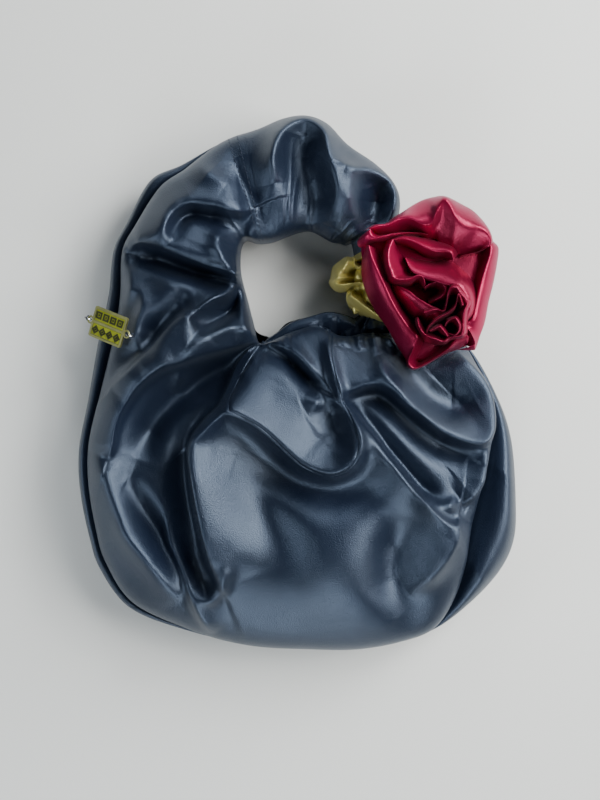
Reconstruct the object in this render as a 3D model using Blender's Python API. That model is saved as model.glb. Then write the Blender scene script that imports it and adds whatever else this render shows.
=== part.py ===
"""Gathered satin hand bag with a rose scrunchie, lying on its back.

Metres, +Z up. +X is the right side of the bag as it lies, +Y runs from the pouch to the top of
the handle, and Z = 0 is the surface that the back panel lies on. The origin is the centre of the
bag's box, on that surface. The bag is one ring of cloth around the hand hole: sections across
that ring are swept from the gathered corner, down around the pouch, up the left arm, over the
handle and down to the neck, where the scrunchie sits.
"""

import math

import bmesh
import bpy
import numpy as np
from mathutils import Matrix, Vector

MM = 0.001

# Cloth layers, as depths below the outer surface.
SATIN = (0.0, 1.6)
LINING = (2.3, 3.3)
SEAM_GAP = 0.25  # half the gap between the front and back panels along the outer seam
MOUTH_GAP = 5.0  # half the height of the mouth at its rim

# The neck, which the scrunchie wraps.
NECK_TOP = (52.0, 96.0)
NECK_LOW = (60.0, 38.0)
NECK_Z = 26.0
NECK_RADIUS = 14.5

# Sections across the ring of cloth, in millimetres:
# inner edge x, y; outer edge x, y; lowest z; seam z; highest z; roundness; flattening below.
POUCH_SECTIONS = (
    (43, 34, 80, 33, 4, 24, 41, 0.9, 1),
    (36, 33.5, 116, 20, 0, 26, 43, 0.8, 4),
    (25, 34.5, 141, -25, 0, 27, 52, 0.8, 8),
    (15, 39.5, 149.5, -85, 0, 27, 61, 0.8, 8),
    (7, 40, 135, -135, 0, 27, 67, 0.8, 8),
    (1, 38, 92, -170, 0, 27, 68, 0.8, 8),
    (-5, 36, 30, -182, 0, 27, 68, 0.8, 8),
    (-11, 33, -45, -178, 0, 27, 67, 0.8, 8),
    (-16, 30, -108, -156, 0, 27, 65, 0.8, 8),
    (-21, 28, -141, -108, 0, 27, 62, 0.8, 8),
    (-26, 28, -150, -48, 0, 27, 60, 0.8, 8),
    (-30, 40, -139, 12, 0, 26, 58, 0.8, 8),
)
HANDLE_SECTIONS = (
    (-34, 58, -129, 60, 0, 26, 57, 0.8, 8),
    (-38.5, 78, -118, 106, 0, 26, 56, 0.8, 8),
    (-38, 93, -90, 146, 0, 26, 56, 0.8, 8),
    (-27, 96, -50, 167, 0, 26, 57, 0.8, 8),
    (-10, 101, -14, 181.3, 0, 27, 58, 0.8, 8),
    (6, 104, 19, 179.3, 0, 27, 57, 0.8, 8),
    (19, 102, 49, 156, 0, 26, 53, 0.8, 6),
    (30, 98, 70, 122, 4, 26, 47, 0.9, 2),
)
POUCH_END = 11.0  # section where the pouch ends and the left arm of the handle starts
HANDLE_SEAM = 15.6  # section at the stitched seam across the handle
CORE_DEPTH = 10.0  # from the handle's satin in to the bunched lining that fills it
JOIN = 0.04  # clearance between two swept pieces, in sections

# The stretch of the front panel that lifts when the bag is opened.
LIP_X = (-22.0, 24.0)
LIP_HINGE_Y = -30.0
LIP_CLEARANCE = 1.2
LIP_LOWEST = 27.5  # just above the seam, so that only the front panel is cut
LIP_REACH = 80.0  # past every other edge of the front panel
PANEL_GRID = (26, 13)  # points along the ring of cloth and across it

# Gathering tapes and snap inside the mouth. Places along the mouth are in sections.
TAPE_WIDTH = 8.0
TAPE_HEIGHTS = (2.6, 4.6)  # from the seam's height
TAPE_RUN = (3.4, 8.2)
MOUTH_MIDDLE = 6.0
SNAP_RADIUS = 4.0
SNAP_INSET = 4.6
SNAP_HEIGHTS = (0.2, 2.25)  # from the seam's height

# Scrunchie, measured from the neck's axis.
ELASTIC = (15.1, 16.3, 24.0)  # inner radius, outer radius, length
SLEEVE = (16.9, 19.5, 14.0)
RUFFLE = (16.9, 24.3, 15.0)
RUFFLE_OFFSET = 15.5

# Rose.
ROSE_CENTRE = (88.0, 66.0)
ROSE_OUTLINE = (
    (39, 91), (50, 104), (72, 115), (90, 123), (108, 117), (127, 94),
    (131, 77), (126, 50), (116, 23), (97, 17), (77, 10), (60, 32), (44, 66),
)
ROSE_FLOOR = 57.0
ROSE_BASE = (27.0, 50.8, 56.6)  # radius, lowest z, highest z
OUTER_PETALS = (  # where each starts around the rose, and its rim's height
    (0.0, 66.0), (0.2, 70.0), (0.42, 66.0), (0.6, 63.0), (0.8, 66.0),
)
OUTER_CREST = 10.0  # how much higher an outer petal is towards the middle
OUTER_SCALES = (0.62, 1.0)  # inner and outer edge, as shares of the rose's outline
INNER_PETALS = 3
INNER_HEIGHTS = (78.0, 86.0)
INNER_SCALES = (0.33, 0.6)
CORE_RINGS = ((0.26, ROSE_FLOOR), (0.3, 78.0), (0.27, 87.0), (0.14, 90.0))  # share, height

# Badge.
BADGE_SIZE = (28.4, 20.8, 1.5)
BADGE_PLACE = (-126.0, 37.5, 51.0)
BADGE_TURN = -19.6  # degrees about its own face
BADGE_TILT = -30.0  # degrees, its face leans out with the side of the arm
BADGE_RIM = 1.6
ENAMEL_DEPTH = 0.7
LUG = (2.2, 0.7)  # ring radius and wire radius of each lug
JUMP_RING = (2.4, 0.45)
THREAD_LOOP = (1.6, 0.35)
THREAD_INSET = 1.1  # from the jump ring's far side to the thread inside it

MATERIALS = {
    "navy_satin": ((0.055, 0.085, 0.14), 0.32, 0.0),
    "navy_lining": ((0.04, 0.055, 0.09), 0.6, 0.0),
    "rose_satin": ((0.36, 0.02, 0.06), 0.32, 0.0),
    "olive_satin": ((0.3, 0.27, 0.07), 0.34, 0.0),
    "felt": ((0.2, 0.02, 0.04), 0.9, 0.0),
    "tape": ((0.05, 0.06, 0.1), 0.8, 0.0),
    "elastic": ((0.75, 0.75, 0.7), 0.7, 0.0),
    "badge_metal": ((0.6, 0.6, 0.58), 0.3, 1.0),
    "badge_enamel": ((0.5, 0.55, 0.05), 0.25, 0.0),
    "ring_metal": ((0.4, 0.4, 0.4), 0.25, 1.0),
    "snap_metal": ((0.6, 0.6, 0.62), 0.3, 1.0),
    "thread": ((0.03, 0.03, 0.05), 0.8, 0.0),
}


def clear_scene():
    for obj in list(bpy.data.objects):
        bpy.data.objects.remove(obj, do_unlink=True)


def material(slot):
    found = bpy.data.materials.get(slot)
    if found:
        return found
    colour, roughness, metallic = MATERIALS[slot]
    made = bpy.data.materials.new(slot)
    made.use_nodes = True
    shader = made.node_tree.nodes["Principled BSDF"]
    shader.inputs["Base Color"].default_value = (*colour, 1.0)
    shader.inputs["Roughness"].default_value = roughness
    shader.inputs["Metallic"].default_value = metallic
    return made


def finish_mesh(name, mesh_builder, slot, smooth=True):
    """Make an object called name from a filled bmesh, with its faces pointing out."""
    bmesh.ops.recalc_face_normals(mesh_builder, faces=mesh_builder.faces)
    mesh = bpy.data.meshes.new(name)
    mesh_builder.to_mesh(mesh)
    mesh_builder.free()
    obj = bpy.data.objects.new(name, mesh)
    bpy.context.scene.collection.objects.link(obj)
    mesh.materials.append(material(slot))
    if smooth:
        mesh.shade_smooth()
        mesh.set_sharp_from_angle(angle=math.radians(40))
    return obj


def skin_solid(name, outer, inner, slot, wrap=False):
    """Close two grids of points, outer[row][column] and inner, into one body.

    wrap joins the last column to the first, which makes a tube with open ends.
    """
    builder = bmesh.new()
    sheets = []
    for grid in (outer, inner):
        sheets.append([[builder.verts.new(Vector(p) * MM) for p in row] for row in grid])
    top, low = sheets
    rows = len(top)
    columns = len(top[0])
    spans = columns if wrap else columns - 1
    for r in range(rows - 1):
        for c in range(spans):
            d = (c + 1) % columns
            builder.faces.new((top[r][c], top[r][d], top[r + 1][d], top[r + 1][c]))
            builder.faces.new((low[r][c], low[r + 1][c], low[r + 1][d], low[r][d]))
    for r in (0, rows - 1):
        for c in range(spans):
            d = (c + 1) % columns
            builder.faces.new((top[r][c], low[r][c], low[r][d], top[r][d]))
    if not wrap:
        for c in (0, columns - 1):
            for r in range(rows - 1):
                builder.faces.new((top[r][c], top[r + 1][c], low[r + 1][c], low[r][c]))
    return finish_mesh(name, builder, slot)


def stacked_rings(name, rows, slot):
    """Closed body through rings of points, with a face over each end."""
    builder = bmesh.new()
    rings = [[builder.verts.new(Vector(p) * MM) for p in row] for row in rows]
    sides = len(rings[0])
    for low, high in zip(rings, rings[1:]):
        for i in range(sides):
            j = (i + 1) % sides
            builder.faces.new((low[i], low[j], high[j], high[i]))
    builder.faces.new(rings[0])
    builder.faces.new(rings[-1])
    return finish_mesh(name, builder, slot)


def ring_solid(name, centre, axis, inner_radius, profile, slot, sides=32, lobes=0, depth=0.0):
    """Turned ring about axis. profile is (distance along the axis, outer radius) points."""
    axis = Vector(axis).normalized()
    up = Vector((0, 0, 1))
    side = axis.cross(up).normalized()
    outer = []
    inner = []
    for along, radius in profile:
        outer_row = []
        inner_row = []
        for i in range(sides):
            angle = 2 * math.pi * i / sides
            swell = radius - depth * (0.5 - 0.5 * math.cos(lobes * angle)) if lobes else radius
            ray = side * math.cos(angle) + up * math.sin(angle)
            middle = Vector(centre) + axis * along
            outer_row.append(middle + ray * swell)
            inner_row.append(middle + ray * inner_radius)
        outer.append(outer_row)
        inner.append(inner_row)
    return skin_solid(name, outer, inner, slot, wrap=True)


def neck_section(centre):
    """Round section of the neck, in the same columns as the other sections."""
    run = Vector(NECK_LOW) - Vector(NECK_TOP)
    across = Vector((-run.y, run.x)).normalized() * NECK_RADIUS
    inner = Vector(centre) - across
    outer = Vector(centre) + across
    low = NECK_Z - NECK_RADIUS
    high = NECK_Z + NECK_RADIUS
    return (inner.x, inner.y, outer.x, outer.y, low, NECK_Z, high, 1.0, 0)


def all_sections():
    middle = (Vector(NECK_TOP) + Vector(NECK_LOW)) / 2
    neck = tuple(neck_section(place) for place in (NECK_TOP, middle, NECK_LOW))
    return np.array(POUCH_SECTIONS + HANDLE_SECTIONS + neck, dtype=float)


SECTIONS = all_sections()
NECK_START = len(POUCH_SECTIONS) + len(HANDLE_SECTIONS)
LAST_SECTION = len(SECTIONS) - 1


def section(t):
    """Section at t, smooth through the stated ones and straight along the neck."""
    k = int(min(max(math.floor(t), 0), LAST_SECTION - 1))
    u = t - k
    b = SECTIONS[k]
    c = SECTIONS[k + 1]
    if k >= NECK_START:
        return b * (1 - u) + c * u
    a = SECTIONS[max(k - 1, 0)]
    d = SECTIONS[min(k + 2, LAST_SECTION)]
    linear = (c - a) * u
    square = (2 * a - 5 * b + 4 * c - d) * u * u
    cube = (3 * b - a - 3 * c + d) * u ** 3
    values = b + 0.5 * (linear + square + cube)
    values[4] = max(values[4], 0.0)
    return values


def mouth_share(t):
    """1 along the mouth and 0 at its two ends, where the cloth closes into a tube."""
    ends = min(t, POUCH_END - t)
    share = min(max(ends, 0.0), 1.0)
    return share * share * (3 - 2 * share)


def cloth_point(t, angle, depth, split):
    """Point on the ring of cloth. angle runs from the outer edge (0) over the top to the inner
    edge (pi) and back below. split opens the panels at the seam and at the mouth."""
    inner_x, inner_y, outer_x, outer_y, low, seam, high, round_power, flat = section(t)
    middle = Vector((inner_x + outer_x, inner_y + outer_y)) / 2
    reach = Vector((outer_x - inner_x, outer_y - inner_y)) / 2
    reach *= 1 - depth / reach.length
    place = middle + reach * math.cos(angle)
    rise = abs(math.sin(angle)) ** round_power
    towards_mouth = (1 - math.cos(angle)) / 2
    gap = 0.0
    if split:
        gap = SEAM_GAP + (MOUTH_GAP - SEAM_GAP) * towards_mouth * mouth_share(t)
    if split > 0 or (split == 0 and math.sin(angle) >= 0):
        height = seam + gap + (high - depth - seam - gap) * rise
    else:
        height = seam - gap - (seam - gap - low - depth + flat) * rise
        height = max(height, low + depth)
    return (place.x, place.y, height)


def panel(name, depths, split, slot):
    """One side of the pouch: split 1 is the front, split -1 the back."""
    rows, columns = PANEL_GRID
    grids = []
    for depth in depths:
        grid = []
        for t in np.linspace(0.0, POUCH_END - JOIN, rows):
            row = [
                cloth_point(t, split * a, depth, split)
                for a in np.linspace(0, math.pi, columns)
            ]
            grid.append(row)
        grids.append(grid)
    return skin_solid(name, *grids, slot)


def handle_tube(name, t_range, slot, rows, columns=20):
    """A stretch of the handle: a tube of satin with open ends."""
    grids = []
    angles = [2 * math.pi * i / columns for i in range(columns)]
    for depth in SATIN:
        grid = []
        for t in np.linspace(*t_range, rows):
            grid.append([cloth_point(t, a, depth, 0) for a in angles])
        grids.append(grid)
    return skin_solid(name, *grids, slot, wrap=True)


def box_cutter(name, low, high):
    builder = bmesh.new()
    bmesh.ops.create_cube(builder, size=1.0)
    size = Vector(high) - Vector(low)
    centre = (Vector(high) + Vector(low)) / 2
    bmesh.ops.scale(builder, vec=size * MM, verts=builder.verts)
    bmesh.ops.translate(builder, vec=centre * MM, verts=builder.verts)
    obj = finish_mesh(name, builder, "thread", smooth=False)
    obj.hide_render = True
    obj.display_type = "WIRE"
    return obj


def cut(obj, cutter, operation):
    modifier = obj.modifiers.new(operation.lower(), "BOOLEAN")
    modifier.operation = operation
    modifier.solver = "EXACT"
    modifier.object = cutter


def lip_cutter(name, side_clearance, hinge_clearance):
    """Box round the lip, with its sides and its hinge end moved in by the clearances."""
    low = (LIP_X[0] + side_clearance, LIP_HINGE_Y + hinge_clearance, LIP_LOWEST)
    high = (LIP_X[1] - side_clearance, LIP_REACH, LIP_REACH)
    return box_cutter(name, low, high)


def make_pouch():
    """Back and front panels with their linings; the front is cut at the lip that lifts."""
    space = lip_cutter("lip_space", 0.0, 0.0)
    lip = lip_cutter("lip_part", LIP_CLEARANCE, LIP_CLEARANCE)
    lip_lining = lip_cutter("lip_lining_part", LIP_CLEARANCE, 3 * LIP_CLEARANCE)
    panel("back_panel", SATIN, -1, "navy_satin")
    panel("lining_back", LINING, -1, "navy_lining")
    cut(panel("front_panel", SATIN, 1, "navy_satin"), space, "DIFFERENCE")
    cut(panel("mouth_lip", SATIN, 1, "navy_satin"), lip, "INTERSECT")
    cut(panel("lining_front", LINING, 1, "navy_lining"), space, "DIFFERENCE")
    cut(panel("lip_lining", LINING, 1, "navy_lining"), lip_lining, "INTERSECT")


def mouth_line(t):
    values = section(t)
    return Vector((values[0], values[1]))


def make_mouth_tapes():
    """Flat gathering tapes under the two edges of the mouth, and the snap between them."""
    seam = section(MOUTH_MIDDLE)[5]
    for name, side in (("mouth_tape_front", 1), ("mouth_tape_back", -1)):
        grids = []
        for z in TAPE_HEIGHTS:
            grid = []
            for t in np.linspace(*TAPE_RUN, 12):
                edge = mouth_line(t)
                outer = Vector(section(t)[2:4])
                inward = (outer - edge).normalized()
                inward = (inward + Vector((0, -2.0))).normalized()
                row = [edge + inward * 0.5, edge + inward * TAPE_WIDTH]
                grid.append([(p.x, p.y, seam + side * z) for p in row])
            grids.append(grid)
        skin_solid(name, *grids, "tape")
    snap_place = mouth_line(MOUTH_MIDDLE) + Vector((0, -SNAP_INSET))
    for name, side in (("snap_stud", 1), ("snap_socket", -1)):
        builder = bmesh.new()
        low, high = sorted(seam + side * z for z in SNAP_HEIGHTS)
        bmesh.ops.create_cone(
            builder, cap_ends=True, segments=24,
            radius1=SNAP_RADIUS * MM, radius2=SNAP_RADIUS * MM, depth=(high - low) * MM,
        )
        centre = Vector((snap_place.x, snap_place.y, (low + high) / 2)) * MM
        bmesh.ops.translate(builder, vec=centre, verts=builder.verts)
        finish_mesh(name, builder, "snap_metal")


def make_handle():
    handle_tube("strap_left", (POUCH_END, HANDLE_SEAM - JOIN), "navy_satin", 14)
    handle_tube("strap_right", (HANDLE_SEAM, LAST_SECTION), "navy_satin", 20)
    sides = 12
    rings = []
    for t in np.linspace(POUCH_END + 0.8, NECK_START + 1, 20):
        angles = [2 * math.pi * i / sides for i in range(sides)]
        rings.append([cloth_point(t, a, CORE_DEPTH, 0) for a in angles])
    stacked_rings("handle_core", rings, "navy_lining")


def neck_axis():
    return (Vector(NECK_LOW) - Vector(NECK_TOP)).normalized().to_3d()


def make_scrunchie():
    middle = ((Vector(NECK_TOP) + Vector(NECK_LOW)) / 2).to_3d()
    middle.z = NECK_Z
    axis = neck_axis()
    for name, sizes, slot in (
        ("scrunchie_elastic", ELASTIC, "elastic"),
        ("scrunchie_sleeve", SLEEVE, "olive_satin"),
    ):
        inner, outer, length = sizes
        profile = ((-length / 2, outer), (length / 2, outer))
        ring_solid(name, middle, axis, inner, profile, slot)
    inner, outer, length = RUFFLE
    for name, side in (("scrunchie_ruffle_upper", -1), ("scrunchie_ruffle_lower", 1)):
        steps = np.linspace(-1, 1, 5)
        profile = []
        for s in steps:
            swell = math.sqrt(max(1 - (0.86 * s) ** 2, 0.0))
            profile.append((s * length / 2, inner + 0.8 + (outer - inner - 0.8) * swell))
        centre = middle + axis * side * RUFFLE_OFFSET
        ring_solid(name, centre, axis, inner, profile, "olive_satin", sides=36, lobes=9, depth=2.2)


def rose_edge(u):
    """Point on the rose's outline; u runs from 0 to 1 around it."""
    count = len(ROSE_OUTLINE)
    k = int(math.floor(u * count))
    f = u * count - k
    a, b, c, d = (Vector(ROSE_OUTLINE[(k + i) % count]) for i in (-1, 0, 1, 2))
    square = (2 * a - 5 * b + 4 * c - d) * f * f
    cube = (3 * b - a - 3 * c + d) * f ** 3
    return b + 0.5 * ((c - a) * f + square + cube)


def petal(name, turn, share, scales, heights):
    """A thick curved petal between two scalings of the rose's outline.

    turn is where it starts around the rose and share how far it goes, as parts of a turn.
    heights is its floor, its outer rim and its inner rim.
    """
    centre = Vector(ROSE_CENTRE)
    floor, rim, crest = heights
    clear = 0.004
    upper = []
    lower = []
    for u in np.linspace(turn + clear, turn + share - clear, 9):
        edge = rose_edge(u % 1.0) - centre
        upper_row = []
        lower_row = []
        for k in np.linspace(0, 1, 4):
            place = centre + edge * (scales[0] + (scales[1] - scales[0]) * k)
            curl = math.sin(math.pi * k) * 2.0
            upper_row.append((place.x, place.y, crest + (rim - crest) * k + curl))
            lower_row.append((place.x, place.y, floor))
        upper.append(upper_row)
        lower.append(lower_row)
    return skin_solid(name, upper, lower, "rose_satin")


def make_rose():
    radius, low, high = ROSE_BASE
    builder = bmesh.new()
    bmesh.ops.create_cone(
        builder, cap_ends=True, segments=32,
        radius1=radius * MM, radius2=radius * MM, depth=(high - low) * MM,
    )
    centre = Vector((*ROSE_CENTRE, (low + high) / 2)) * MM
    bmesh.ops.translate(builder, vec=centre, verts=builder.verts)
    finish_mesh("rose_base", builder, "felt")

    starts = [start for start, rim in OUTER_PETALS] + [1.0]
    for i, (start, rim) in enumerate(OUTER_PETALS):
        heights = (ROSE_FLOOR, rim, rim + OUTER_CREST)
        petal(f"rose_petal_outer_{i + 1}", start, starts[i + 1] - start, OUTER_SCALES, heights)
    for i in range(INNER_PETALS):
        share = 1 / INNER_PETALS
        heights = (ROSE_FLOOR, *INNER_HEIGHTS)
        petal(f"rose_petal_inner_{i + 1}", 0.1 + i * share, share, INNER_SCALES, heights)

    sides = 16
    rings = []
    for k, z in CORE_RINGS:
        ring = []
        for i in range(sides):
            edge = rose_edge(i / sides) - Vector(ROSE_CENTRE)
            place = Vector(ROSE_CENTRE) + edge * k
            ring.append((place.x, place.y, z))
        rings.append(ring)
    stacked_rings("rose_core", rings, "rose_satin")


def badge_frame():
    """Matrix from the badge's own axes (x along its length, z out of its face) to the bag's."""
    lean = Matrix.Rotation(math.radians(BADGE_TILT), 4, "Y")
    turn = Matrix.Rotation(math.radians(BADGE_TURN), 4, "Z")
    return Matrix.Translation(Vector(BADGE_PLACE) * MM) @ lean @ turn


def badge_box(name, low, high, slot, bevel=0.0):
    builder = bmesh.new()
    bmesh.ops.create_cube(builder, size=1.0)
    size = Vector(high) - Vector(low)
    centre = (Vector(high) + Vector(low)) / 2
    bmesh.ops.scale(builder, vec=size * MM, verts=builder.verts)
    bmesh.ops.translate(builder, vec=centre * MM, verts=builder.verts)
    if bevel:
        upright = [
            e for e in builder.edges
            if abs(e.verts[0].co.x - e.verts[1].co.x) < 1e-9
            and abs(e.verts[0].co.y - e.verts[1].co.y) < 1e-9
        ]
        bmesh.ops.bevel(
            builder, geom=upright, offset=bevel * MM, segments=3, affect="EDGES", profile=0.5,
        )
    bmesh.ops.transform(builder, matrix=badge_frame(), verts=builder.verts)
    return finish_mesh(name, builder, slot)


def wire_ring(name, centre, normal, sizes, slot, around=16, sides=6):
    """Closed ring of round wire, placed in the badge's own axes."""
    ring_radius, wire_radius = sizes
    normal = Vector(normal).normalized()
    first = normal.orthogonal().normalized()
    second = normal.cross(first)
    builder = bmesh.new()
    rings = []
    for i in range(around):
        angle = 2 * math.pi * i / around
        ray = first * math.cos(angle) + second * math.sin(angle)
        ring = []
        for j in range(sides):
            turn = 2 * math.pi * j / sides
            arm = ray * (ring_radius + wire_radius * math.cos(turn))
            place = Vector(centre) + arm + normal * wire_radius * math.sin(turn)
            ring.append(builder.verts.new(place * MM))
        rings.append(ring)
    for i in range(around):
        after = rings[(i + 1) % around]
        for j in range(sides):
            k = (j + 1) % sides
            builder.faces.new((rings[i][j], rings[i][k], after[k], after[j]))
    bmesh.ops.transform(builder, matrix=badge_frame(), verts=builder.verts)
    return finish_mesh(name, builder, slot)


def make_badge():
    length, width, thick = BADGE_SIZE
    half = Vector((length / 2, width / 2, thick / 2))
    plate = badge_box("badge_plate", -half, half, "badge_metal", bevel=1.2)
    field_x = length / 2 - BADGE_RIM
    bar = BADGE_RIM / 2
    field_y = (bar, width / 2 - BADGE_RIM)
    floor = half.z - ENAMEL_DEPTH
    for name, side in (("badge_enamel_upper", 1), ("badge_enamel_lower", -1)):
        low_y, high_y = sorted(side * y for y in field_y)
        cutter = badge_box(
            name + "_space", (-field_x, low_y, floor), (field_x, high_y, half.z + 1), "thread",
        )
        cutter.hide_render = True
        cutter.display_type = "WIRE"
        cut(plate, cutter, "DIFFERENCE")
        gap = 0.3
        badge_box(
            name,
            (-field_x + gap, low_y + gap, floor + gap),
            (field_x - gap, high_y - gap, half.z - 0.1),
            "badge_enamel",
        )
    for name, side in (("left", -1), ("right", 1)):
        lug_x = side * (length / 2 + LUG[0] - 0.4)
        lug = wire_ring(f"lug_{name}", (lug_x, 0, 0), (0, 0, 1), LUG, "thread")
        lug.hide_render = True
        lug.display_type = "WIRE"
        cut(plate, lug, "UNION")
        ring_x = lug_x + side * JUMP_RING[0]
        wire_ring(f"badge_ring_{name}", (ring_x, 0, 0), (0, 1, 0), JUMP_RING, "ring_metal")
        loop_x = ring_x + side * (JUMP_RING[0] - THREAD_INSET)
        loop_centre = (loop_x, 0, -THREAD_LOOP[0])
        wire_ring(f"badge_thread_{name}", loop_centre, (1, 0, 0), THREAD_LOOP, "thread")


clear_scene()
make_pouch()
make_mouth_tapes()
make_handle()
make_scrunchie()
make_rose()
make_badge()
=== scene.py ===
"""Looks of the gathered satin hand bag: satin skins with their folds, scrunchie, rose and badge.

Everything is in metres in the frame of the CAD model. Lengths below are in millimetres on the
bag and are multiplied by unit, which is read from the frame. The bag lies on its back.
"""

import math

import bmesh
import bpy
import numpy as np
from mathutils import Matrix, Vector
from mathutils.bvhtree import BVHTree


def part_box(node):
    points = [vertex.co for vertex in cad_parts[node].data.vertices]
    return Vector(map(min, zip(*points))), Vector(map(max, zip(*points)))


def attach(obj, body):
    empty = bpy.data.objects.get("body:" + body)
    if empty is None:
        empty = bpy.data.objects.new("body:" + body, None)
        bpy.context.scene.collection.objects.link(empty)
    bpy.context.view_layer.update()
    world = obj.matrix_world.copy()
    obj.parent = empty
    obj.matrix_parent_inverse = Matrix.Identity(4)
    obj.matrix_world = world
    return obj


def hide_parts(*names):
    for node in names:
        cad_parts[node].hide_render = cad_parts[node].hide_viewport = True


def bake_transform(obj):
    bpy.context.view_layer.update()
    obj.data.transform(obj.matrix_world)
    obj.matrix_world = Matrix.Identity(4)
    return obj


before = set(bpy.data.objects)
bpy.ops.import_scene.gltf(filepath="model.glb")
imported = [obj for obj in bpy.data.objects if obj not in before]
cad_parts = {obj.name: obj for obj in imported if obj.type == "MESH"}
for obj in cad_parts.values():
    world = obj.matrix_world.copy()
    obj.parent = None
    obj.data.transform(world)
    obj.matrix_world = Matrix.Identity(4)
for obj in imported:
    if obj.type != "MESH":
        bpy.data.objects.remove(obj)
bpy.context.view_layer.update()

# The bag was drawn 299 mm wide, so unit is one of its millimetres in metres.
DRAWN_WIDTH = 299.0
panel_low, panel_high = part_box("back_panel")
unit = (panel_high.x - panel_low.x) / DRAWN_WIDTH


# ---------------------------------------------------------------- outline of the bag

# Sections across the ring of cloth: inner edge x, y; outer edge x, y; highest point.
POUCH = (
    (43, 34, 80, 33, 38), (39.5, 33, 103, 28, 40), (35.5, 32.3, 117.8, 24, 43),
    (31, 32.3, 136.3, -7.9, 50), (26, 33.5, 146.5, -38.6, 55), (20, 36.5, 149.6, -80, 60),
    (14, 39.5, 148.2, -107, 62), (9, 40, 138.3, -128.5, 64), (4.5, 39.2, 118.5, -150, 65),
    (1, 38, 95.3, -167.5, 66), (-2, 37, 70, -176.5, 67), (-5, 36, 41.3, -181.5, 67),
    (-8, 34.7, 9.9, -181.5, 67), (-11, 33, -32.4, -179, 66), (-14, 31.2, -76.2, -169, 65),
    (-17, 29.6, -114.4, -154, 63), (-20, 28.5, -134.9, -128, 61), (-22.5, 27.8, -143, -104, 60),
    (-24.5, 28, -149, -73, 59), (-26.5, 30, -149.8, -45, 58), (-28.5, 35, -143.5, -11.3, 57),
    (-30.5, 43, -136.3, 29.7, 56),
)
HANDLE = (
    (-34, 57, -129.6, 60, 55), (-37.5, 70, -126, 91, 55), (-39, 80, -117, 110, 54),
    (-38.5, 92, -101, 139, 53), (-35, 98, -79, 150, 53), (-27, 96, -52, 165, 54),
    (-17, 97, -27, 173.5, 55), (-8, 100.5, -10, 180, 56), (2, 104, 6, 181.5, 56),
    (9, 104.5, 20, 176.5, 56), (16, 101.5, 34, 163, 54), (23, 97.5, 53, 149.5, 51),
    (29, 96.5, 66, 135, 47), (32.5, 95.3, 70, 121, 44),
)
NECK_TOP = (52.0, 96.0)
NECK_LOW = (60.0, 38.0)
NECK_Z = 26.0
NECK_RADIUS = 14.5
SEAM_Z = 27.0
TABLE_CLEAR = 0.4  # how far the back satin stays above the table
POUCH_ROUND = 0.8  # below 1 the sides of a section are fuller than an ellipse
FLAT_BELOW = 8.0  # how far the underside is pressed flat
FLAT_FROM = 40.0  # height of the sections where the pressing starts
FLAT_SPAN = 12.0  # how much higher a section is where it is complete
LIFTED_UNDER = 44.0  # sections lower than this stand clear of the table
LOW_SLOPE = 4.0 / 6.0  # how far, for each unit they are lower
HANDLE_SEAM = 27.6  # section of the stitched seam across the handle


# Where the front's outer edge is folded in over the back: section and how far.
TUCKS = (
    (0, 0), (1, 0), (2, 2), (3, 7), (4, 16), (5, 32), (6, 41), (7, 39), (8, 16), (9, 0),
    (13.5, 0), (14.5, 4), (16, 8), (18, 9), (20, 10), (21, 12), (22, 9), (23, 6.5), (24, 7),
    (25, 11), (26, 5), (27, 0), (40, 0),
)
BAND_RISE = 0.62  # how far the back bulges beside the tucked edge, for each unit of its width
BAND_MOST = 17.0  # the most that it bulges
BAND_HUMP = 1.1  # height of the band's hump against the bulge
BAND_SHARE = 0.93  # the part of a full arch that the hump runs through
BAND_SKEW = 0.75  # below 1 the hump's top lies nearer the outer edge
BAND_UNDER = 2.5  # how far the band runs on under the tucked edge
BAND_FULL = 6.0  # width of tuck from which it runs on that far
BAND_COLUMNS = 26
EDGE_BIAS = 0.25  # how much more the bulge lifts the tucked edge than the rest of the front


def spline(a, b, c, d, u):
    """Catmull-Rom curve from b to c at the share u."""
    square = (2 * a - 5 * b + 4 * c - d) * u * u
    cube = (3 * b - a - 3 * c + d) * u ** 3
    return b + 0.5 * ((c - a) * u + square + cube)


def smooth_curve(points, count, closed=False):
    """Points along a smooth curve through the given ones, evenly spread between them."""
    points = np.array(points, dtype=float)
    total = len(points) if closed else len(points) - 1
    places = np.linspace(0, total, count, endpoint=not closed)
    k = np.minimum(places.astype(int), total - 1)
    u = (places - k)[:, None]
    last = len(points)
    if closed:
        near = [points[(k + i) % last] for i in (-1, 0, 1, 2)]
    else:
        near = [points[np.clip(k + i, 0, last - 1)] for i in (-1, 0, 1, 2)]
    return spline(*near, u)


def all_sections():
    """Rows of inner x, y, outer x, y, lowest, seam and highest z, roundness and flattening."""
    rows = []
    for inner_x, inner_y, outer_x, outer_y, high in POUCH + HANDLE:
        flat = FLAT_BELOW * min(max((high - FLAT_FROM) / FLAT_SPAN, 0.0), 1.0)
        low = max(0.0, LOW_SLOPE * (LIFTED_UNDER - high))
        rows.append((inner_x, inner_y, outer_x, outer_y, low, SEAM_Z, high, POUCH_ROUND, flat))
    run = Vector(NECK_LOW) - Vector(NECK_TOP)
    across = Vector((-run.y, run.x)).normalized() * NECK_RADIUS
    for share in (0.0, 0.5, 1.0):
        centre = Vector(NECK_TOP).lerp(Vector(NECK_LOW), share)
        inner = centre - across
        outer = centre + across
        low = NECK_Z - NECK_RADIUS
        high = NECK_Z + NECK_RADIUS
        rows.append((inner.x, inner.y, outer.x, outer.y, low, NECK_Z, high, 1.0, 0.0))
    return np.array(rows)


SECTIONS = all_sections()
POUCH_END = len(POUCH) - 0.5
NECK_START = len(POUCH) + len(HANDLE)
LAST = len(SECTIONS) - 1


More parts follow.
